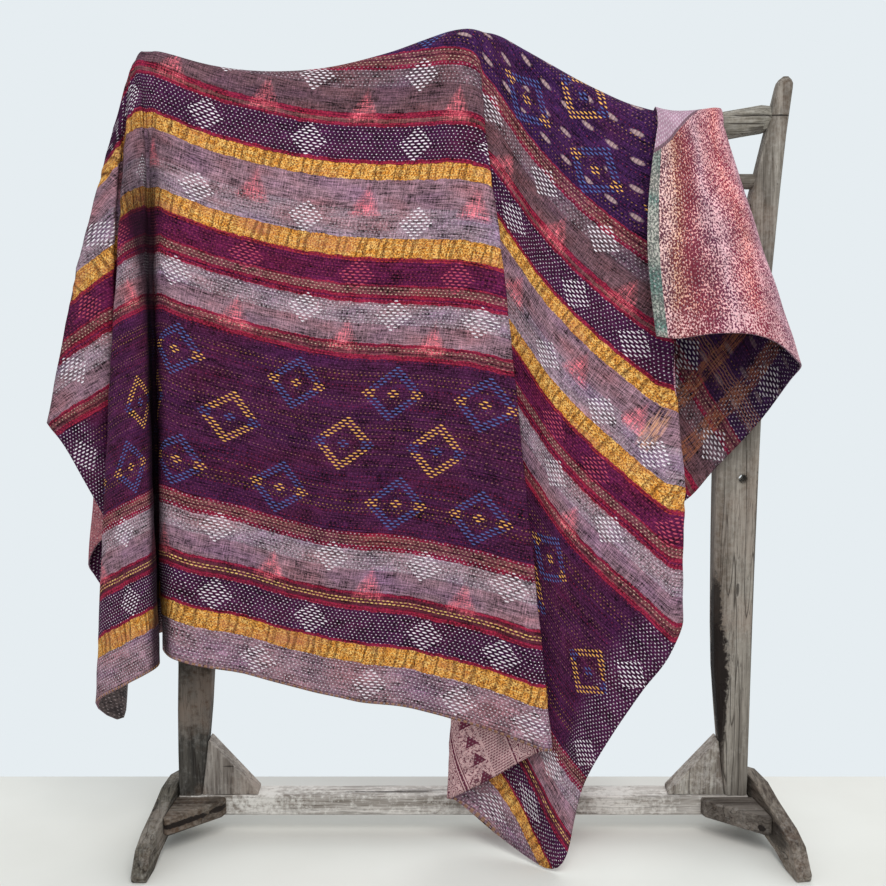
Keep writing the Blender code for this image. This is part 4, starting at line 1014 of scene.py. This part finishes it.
def reverse_look(colours):
    """The printed reverse: block-printed cloths pieced together, with stitch rows."""
    look = Look("quilt_reverse", 0.92, shine=0.2, noise_dimensions="2D")
    flat = look.uv("flat")
    u, v, _ = look.split(flat)
    off_u, off_v, row, stitch = lattice(look, u, v)
    speckle = look.noise(flat, 225.0, 2.0, 0.6, (1.0, 1.5))
    speckled, dabs = speckled_print(look, flat, speckle)
    rose = look.mix(dabs * 0.7, tint(172, 108, 112), tint(108, 44, 66))
    upper = look.mix(v < ROSE_TOP, speckled, rose)
    colour = look.mix(v < BLOCK_TOP, upper, block_print(look, flat, row))

    # green and grey selvedge along the far hem, and a dark facing in the near corner
    edge_tone = look.ramp(look.noise(flat, 3.2, 1.0, 0.5, (2.4, 1.0)), (
        (0.30, tint(182, 170, 160)), (0.46, tint(98, 128, 120)), (0.60, tint(152, 156, 146)),
        (0.74, tint(196, 186, 176)),
    ))
    selvedge = look.mix(dabs * 0.8, edge_tone, tint(62, 66, 66))
    colour = look.mix(v > CLOTH_LONG - SELVEDGE, colour, selvedge)
    corner = ((CORNER_U - u) / 0.010).clamped() * (v < CORNER_V)
    colour = look.mix(corner * 0.85, colour, tint(58, 60, 58))
    luck = look.chance(stitch, row)
    show = (dash(off_u, off_v, 0.42, 0.42) * (0.05 + 0.40 * luck)).clamped()
    colour = look.mix(show, colour, tint(226, 206, 206))

    # a small corner of the face turned over at the flap's top
    turned = from_lapel(u, v)
    lilac = look.mix(speckle, tint(186, 150, 168), tint(138, 106, 124))
    lilac = look.mix(dash(off_u, off_v, 0.5, 0.5) * 0.45, lilac, colours["chalk"])
    lilac = look.mix((turned > 0.93) * 0.7, lilac, tint(76, 46, 52))
    colour = look.mix((turned < 1.0) * (u > LAPEL_U - LAPEL_BACK), colour, lilac)

    blotch = 0.35 + 0.72 * look.noise(flat, 11.0, 4.0) + 0.50 * look.noise(flat, 60.0, 2.0)
    height = show * 0.5 + (0.5 - off_v) * 0.5 + speckle * 0.6
    return look.finish(look.shaded(colour, blotch), height, depth=0.0016, strength=0.9)


def rim_look():
    """The narrow turned edge of the quilt."""
    look = Look("quilt_rim", 0.9)
    fuzz = look.noise(look.uv("flat"), 300.0, 3.0)
    colour = look.ramp(fuzz, ((0.35, tint(70, 40, 58)), (0.65, tint(150, 118, 134))))
    return look.finish(colour, fuzz, depth=0.0008)


# ---- the stand's wood ----------------------------------------------------------------------------
# along is the way of the grain; pale and dark are its two tones, brown how much warm stain
# shows, and limed how much whitish wear.
Wood = namedtuple("Wood", "node slot along pale dark brown limed")
WOODS = [Wood(*row) for row in (
    ("post_left", "dark_wood", "z", tint(76, 72, 67), tint(40, 38, 36), 0.55, 0.10),
    ("post_right", "wood", "z", tint(141, 134, 125), tint(81, 74, 67), 0.50, 0.12),
    ("crest_rail", "wood", "x", tint(144, 138, 128), tint(80, 75, 66), 0.25, 0.15),
    ("low_rail", "wood", "x", tint(126, 119, 110), tint(74, 67, 59), 0.35, 0.10),
    ("stretcher", "pale_wood", "x", tint(208, 202, 196), tint(120, 112, 104), 0.26, 0.80),
    ("gusset_left", "wood", "z", tint(164, 156, 148), tint(100, 92, 86), 0.60, 0.15),
    ("gusset_right", "wood", "z", tint(167, 160, 150), tint(98, 89, 82), 0.40, 0.35),
    ("corner_block_left", "wood", "x", tint(112, 102, 92), tint(58, 49, 42), 0.60, 0.10),
    ("corner_block_right", "wood", "x", tint(114, 106, 99), tint(60, 53, 48), 0.40, 0.15),
    ("foot_left", "dark_wood", "y", tint(109, 103, 93), tint(50, 46, 41), 0.40, 0.15),
    ("foot_right", "dark_wood", "y", tint(129, 119, 108), tint(67, 58, 52), 0.50, 0.15),
)]

# Dark marks: burns, nail holes, splits and the shadow round a joint, with painted shade on the gussets'
# sloping faces, the right foot's side and the right corner block's lower front, as soft ovals. Middle and
# half sizes from the middle of the stand on the floor.
Mark = namedtuple("Mark", "name node middle half dark")
MARKS = [Mark(*row) for row in (
    ("burn", "post_right", (0.516, -0.030, 0.335), (0.025, 0.050, 0.115), 0.98),
    ("burn top", "post_right", (0.510, -0.030, 0.460), (0.015, 0.040, 0.080), 0.9),
    ("burn tail", "post_right", (0.531, -0.030, 0.250), (0.010, 0.040, 0.070), 0.9),
    ("scorch 1", "post_right", (0.535, -0.030, 0.330), (0.008, 0.030, 0.030), 0.7),
    ("scorch 2", "post_right", (0.530, -0.030, 0.250), (0.004, 0.030, 0.050), 0.8),
    ("joint line", "post_right", (0.520, -0.030, 0.130), (0.004, 0.030, 0.050), 0.9),
    ("cross crack", "post_right", (0.612, -0.030, 1.462), (0.026, 0.020, 0.0016), 0.9),
    ("peg hole rim", "post_right", (0.560, -0.030, 0.748), (0.011, 0.010, 0.011), 0.4),
    ("hole low", "post_right", (0.556, -0.030, 0.520), (0.003, 0.010, 0.012), 0.7),
    ("side line", "post_right", (0.589, -0.030, 0.560), (0.002, 0.010, 0.200), 0.6),
    ("end rim", "crest_rail", (0.602, -0.024, 1.455), (0.006, 0.040, 0.060), 0.9),
    ("end crack 1", "crest_rail", (0.560, -0.024, 1.462), (0.040, 0.020, 0.0016), 0.8),
    ("end crack 2", "crest_rail", (0.545, -0.024, 1.446), (0.035, 0.020, 0.0014), 0.7),
    ("rail end", "low_rail", (0.582, -0.015, 1.336), (0.008, 0.020, 0.024), 0.8),
    ("hole 1", "corner_block_right", (0.516, -0.118, 0.056), (0.009, 0.030, 0.009), 0.95),
    ("hole 1 halo", "corner_block_right", (0.506, -0.112, 0.060), (0.016, 0.02, 0.006), 0.7),
    ("hole 2", "corner_block_right", (0.596, -0.140, 0.054), (0.007, 0.040, 0.007), 0.95),
    # painted shade on the lower front of the right corner block
    ("dark face", "corner_block_right", (0.580, -0.150, 0.040), (0.050, 0.030, 0.014), 0.5),
    ("split", "corner_block_left", (-0.560, -0.120, 0.060), (0.060, 0.060, 0.006), 0.97),
    ("split end", "corner_block_left", (-0.500, -0.060, 0.062), (0.024, 0.030, 0.006), 0.95),
    ("under split", "corner_block_left", (-0.570, -0.130, 0.040), (0.050, 0.06, 0.004), 0.8),
    ("shake 1", "stretcher", (-0.150, -0.010, 0.080), (0.090, 0.003, 0.006), 0.9),
    ("shake 2", "stretcher", (-0.080, 0.000, 0.080), (0.060, 0.002, 0.006), 0.8),
    ("knot", "stretcher", (0.170, -0.032, 0.060), (0.016, 0.010, 0.008), 0.6),
    # painted shade along the sloping faces of both gussets
    ("slope 1", "gusset_right", (0.490, 0.014, 0.195), (0.020, 0.032, 0.020), 0.80),
    ("slope 2", "gusset_right", (0.460, 0.014, 0.162), (0.020, 0.032, 0.014), 0.65),
    ("slope 3", "gusset_right", (0.426, 0.014, 0.125), (0.024, 0.032, 0.018), 0.85),
    ("slope 4", "gusset_left", (-0.490, 0.014, 0.195), (0.020, 0.032, 0.020), 0.85),
    ("slope 5", "gusset_left", (-0.460, 0.014, 0.162), (0.020, 0.032, 0.014), 0.70),
    ("slope 6", "gusset_left", (-0.426, 0.014, 0.125), (0.026, 0.032, 0.020), 0.95),
    ("crack 1", "gusset_left", (-0.488, -0.03, 0.142), (0.012, 0.02, 0.0016), 0.7),
    ("bark", "foot_left", (-0.628, -0.140, 0.100), (0.012, 0.080, 0.020), 0.8),
    ("toe", "foot_left", (-0.632, -0.262, 0.050), (0.020, 0.020, 0.010), 0.8),
    ("heel", "foot_left", (-0.606, -0.060, 0.060), (0.014, 0.060, 0.020), 0.5),
    # painted shade on the side face of the right foot
    ("foot side", "foot_right", (0.625, -0.150, 0.050), (0.016, 0.060, 0.022), 0.7),
    ("foot top", "foot_right", (0.630, -0.080, 0.112), (0.006, 0.050, 0.006), 0.6),
)]
GRAIN = {"x": (0.05, 1.0, 1.0), "y": (1.0, 0.05, 1.0), "z": (1.0, 1.0, 0.05)}


def near_mark(look, place, mark, ragged):
    """1 on a mark, falling to 0 past its ragged edge."""
    middle = tuple(Vector(mark.middle) + STAND)
    inputs = {0: place, 1: middle}
    off = look.add("ShaderNodeVectorMath", {"operation": "SUBTRACT"}, inputs).outputs[0]
    off = look.scaled(off, tuple(1 / half for half in mark.half))
    length = look.add("ShaderNodeVectorMath", {"operation": "LENGTH"}, {0: off})
    return ((1.15 - Value(look, length.outputs["Value"]) + ragged) * 3.4).clamped()


def wood_look(wood):
    """Weathered timber: streaks along the grain, checks, stains, limed wear and its marks."""
    look = Look(wood.node + "_wood", 0.85, shine=0.15)
    place = look.add("ShaderNodeTexCoord").outputs["Object"]
    grained = look.scaled(place, GRAIN[wood.along])
    streak = look.noise(grained, 42.0, 4.0, 0.68)
    fibre = look.noise(grained, 210.0, 3.0, 0.65)
    broad = look.noise(grained, 13.0, 3.0, 0.55)
    patch = look.noise(place, 8.0, 4.0, 0.6)
    fleck = look.noise(place, 90.0, 3.0, 0.7)
    tone = streak * 0.50 + broad * 0.35 + fibre * 0.45
    shade = look.ramp((tone - 0.44) * 2.9, (
        (0.0, tuple(0.42 * c for c in wood.dark)), (0.28, wood.dark),
        (0.62, tuple((a + b) / 2 for a, b in zip(wood.pale, wood.dark))), (0.95, wood.pale),
    ))
    warm = ((patch - 0.46) * 3.5).clamped() * wood.brown
    shade = look.mix(warm, shade, tint(108, 78, 54))
    limed = ((fleck * 0.7 + patch * 0.9 + streak * 0.3 - 0.90) * 5.5).clamped() * wood.limed
    shade = look.mix(limed * 0.9, shade, tint(224, 220, 214))
    check = look.noise(grained, 34.0, 2.0, 0.5)
    check = (1 - abs(check - 0.5) / 0.011).clamped() * ((broad - 0.36) * 6.0).clamped()
    pore = look.noise(grained, 150.0, 2.0, 0.5)
    pore = (1 - abs(pore - 0.5) / 0.016).clamped() * ((streak - 0.40) * 5.0).clamped() * 0.55
    check = check.most(pore)
    shade = look.mix(check * 0.80, shade, tint(38, 30, 26))
    height = tone * 0.7 - check * 0.8 + limed * 0.15
    ragged = (fleck - 0.5) * 1.4
    # each mark darkens the wood and dips its relief; some are painted shade, as listed in MARKS
    for mark in MARKS:
        if mark.node == wood.node:
            near = near_mark(look, place, mark, ragged)
            shade = look.mix(near * mark.dark, shade, tint(30, 24, 22))
            height = height - near * 0.8 * mark.dark
    rough = 0.78 + 0.16 * patch
    return look.finish(shade, height, depth=0.0022, roughness=rough, strength=0.8)


# ---- the stage -----------------------------------------------------------------------------------
SURROUND = (230, 237, 241)
FLOOR_HALF, FLOOR_DROP = 9.0, 0.0005  # its half side, and how far it lies under the feet
FLOOR_BEHIND, FLOOR_NEAR, FLOOR_FADE = 0.275, 3.0, 2.0  # where it gives way to the surround
CAMERA_AT = Vector((-0.0425, -2.8, 1.235))  # this and the next from the middle of the stand
LIT = (0, 0, 0.8)  # where the lights point


def floor_look():
    """A pale floor that glows like the surround where it lies far off or behind the stand."""
    look = Look("plain_floor", 0.8, shine=0.0)
    place = look.add("ShaderNodeTexCoord").outputs["Object"]
    x, y, _ = look.split(place)
    cloud = look.noise(place, 2.2, 4.0)
    near = look.mix(cloud, tint(204, 201, 194), tint(224, 223, 218))
    far = (x * x + y * y).root()
    behind = y > float(STAND[1] + FLOOR_BEHIND)
    away = behind.most(((far - FLOOR_NEAR) / FLOOR_FADE).clamped())
    colour = look.mix(away, near, (0, 0, 0))
    surround = look.mix(away, (0, 0, 0), tint(*SURROUND))
    look.material.cycles.emission_sampling = "NONE"
    look.tree.links.new(surround, look.shader.inputs["Emission Color"])
    look.shader.inputs["Emission Strength"].default_value = 1.0
    return look.finish(colour)


def plane(name, half):
    """A square on the floor, with its half side."""
    bm = bmesh.new()
    bmesh.ops.create_grid(bm, x_segments=1, y_segments=1, size=half)
    mesh = bpy.data.meshes.new(name)
    bm.to_mesh(mesh)
    bm.free()
    made = bpy.data.objects.new(name, mesh)
    bpy.context.scene.collection.objects.link(made)
    return made


def area_light(name, place, size, power, colour):
    """A round soft light that points at the middle of the quilt."""
    light = bpy.data.lights.new(name, "AREA")
    light.shape = "DISK"
    light.size = size
    light.energy = power
    light.color = colour
    made = bpy.data.objects.new(name, light)
    made.location = Vector(place) + STAND
    made.rotation_euler = (Vector(LIT) - Vector(place)).to_track_quat("-Z", "Y").to_euler()
    bpy.context.scene.collection.objects.link(made)


# ---- what a user would change --------------------------------------------------------------------
class QuiltSizes(bpy.types.PropertyGroup):
    """Sizes of the cloth's finer shape."""

    thick: FloatProperty(
        name="Thickness", description="Of the quilt's two layers together", default=0.003,
        min=0.001, max=0.006, unit="LENGTH",
    )
    gather: FloatProperty(
        name="Gathers", description="Height of the puckers along the gold bands",
        default=0.0020, min=0, max=0.005, unit="LENGTH",
    )
    ripple: FloatProperty(
        name="Ripple", description="Height of the small unevenness of the stitched cloth",
        default=0.0012, min=0, max=0.004, unit="LENGTH",
    )


class QuiltColours(bpy.types.PropertyGroup):
    """Colours of the cloth and its threads."""


for colour_name, colour_value in COLOURS.items():
    QuiltColours.__annotations__[colour_name.replace(" ", "_")] = FloatVectorProperty(
        name=colour_name.capitalize(), description="Ground or thread colour of the quilt",
        subtype="COLOR", default=colour_value, min=0, max=1,
    )


class StageSettings(bpy.types.PropertyGroup):
    """Camera and light."""

    lens: FloatProperty(
        name="Lens", description="Focal length on a 36 mm sensor", default=56.9, unit="CAMERA",
    )
    tilt: FloatProperty(
        name="Tilt", description="How far the camera looks down", default=math.radians(8.5),
        subtype="ANGLE",
    )
    key_power: FloatProperty(
        name="Key light", description="Power of the large soft light in front",
        default=95.0, min=0, unit="POWER",
    )
    sky: FloatProperty(
        name="Surround", description="Brightness of the pale surround", default=1.0, min=0,
    )


# ---- one operator for each piece -----------------------------------------------------------------
class QUILT_OT_cloth(bpy.types.Operator):
    """Make the draped quilt as a thin closed sheet in place of its plain solid"""

    bl_idname = "quilt.cloth"
    bl_label = "Draped quilt"

    def execute(self, context):
        quilt = bpy.data.objects.new("draped_quilt", sheet_mesh())
        context.scene.collection.objects.link(quilt)
        chosen = context.scene.quilt_colours
        colours = {name: tuple(getattr(chosen, name.replace(" ", "_"))) for name in COLOURS}
        for made in (cloth_look(colours), reverse_look(colours), rim_look()):
            quilt.data.materials.append(made)
        solid = quilt.modifiers.new("thickness", "SOLIDIFY")
        solid.thickness = context.scene.quilt_sizes.thick
        solid.offset = 0
        solid.use_even_offset = False
        solid.material_offset = 1
        solid.material_offset_rim = 2
        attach(quilt, "root")
        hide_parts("quilt")
        return {"FINISHED"}


class QUILT_OT_wood(bpy.types.Operator):
    """Give every piece of the stand its weathered wood"""

    bl_idname = "quilt.wood"
    bl_label = "Weathered stand"

    def execute(self, context):
        for wood in WOODS:
            piece = bpy.data.objects[wood.node]
            soft = piece.data.attributes.get("custom_normal")
            if soft is not None:
                piece.data.attributes.remove(soft)
            piece.data.shade_flat()
            timber = wood_look(wood)
            for slot in piece.material_slots:
                slot.material = timber
        return {"FINISHED"}


class QUILT_OT_stage(bpy.types.Operator):
    """Set the plain pale floor, soft light and camera"""

    bl_idname = "quilt.stage"
    bl_label = "Floor, light and camera"

    def execute(self, context):
        scene = context.scene
        stage = scene.quilt_stage
        floor = plane("floor", FLOOR_HALF)
        floor.location = (STAND[0], STAND[1], STAND[2] - FLOOR_DROP)
        floor.data.materials.append(floor_look())
        world = bpy.data.worlds.new("pale surround")
        world.use_nodes = True
        background = world.node_tree.nodes["Background"]
        background.inputs["Color"].default_value = (*tint(*SURROUND), 1)
        background.inputs["Strength"].default_value = stage.sky
        scene.world = world
        area_light("key", (0.5, -2.9, 3.7), 2.6, stage.key_power, (1, 0.99, 0.97))
        area_light("back", (1.2, 3.0, 2.6), 3.0, stage.key_power * 0.5, (1, 1, 1))
        lens = bpy.data.cameras.new("camera")
        lens.lens = stage.lens
        lens.sensor_width = 36
        camera = bpy.data.objects.new("camera", lens)
        camera.location = STAND + CAMERA_AT
        camera.rotation_euler = (math.radians(90) - stage.tilt, 0, 0)
        scene.collection.objects.link(camera)
        scene.camera = camera
        scene.view_settings.view_transform = "Standard"
        return {"FINISHED"}


class QUILT_PT_parts(bpy.types.Panel):
    """Lists the pieces of the quilt and its stand"""

    bl_idname = "QUILT_PT_parts"
    bl_label = "Kantha quilt"
    bl_space_type = "VIEW_3D"
    bl_region_type = "UI"
    bl_category = "Quilt"

    def draw(self, context):
        scene = context.scene
        for group in (scene.quilt_sizes, scene.quilt_colours, scene.quilt_stage):
            for name in group.__annotations__:
                self.layout.prop(group, name)
        for operator in OPERATORS:
            self.layout.operator(operator.bl_idname)


OPERATORS = (QUILT_OT_stage, QUILT_OT_cloth, QUILT_OT_wood)
GROUPS = (QuiltSizes, QuiltColours, StageSettings)


def register():
    for made in GROUPS + OPERATORS + (QUILT_PT_parts,):
        bpy.utils.register_class(made)
    bpy.types.Scene.quilt_sizes = PointerProperty(type=QuiltSizes)
    bpy.types.Scene.quilt_colours = PointerProperty(type=QuiltColours)
    bpy.types.Scene.quilt_stage = PointerProperty(type=StageSettings)


def unregister():
    del bpy.types.Scene.quilt_sizes, bpy.types.Scene.quilt_colours, bpy.types.Scene.quilt_stage
    for made in reversed(GROUPS + OPERATORS + (QUILT_PT_parts,)):
        bpy.utils.unregister_class(made)


def plain(box):
    return [[float(x) for x in corner] for corner in box]


def main():
    register()
    bpy.ops.quilt.stage()
    bpy.ops.quilt.cloth()
    bpy.ops.quilt.wood()


if __name__ == "__main__":
    main()
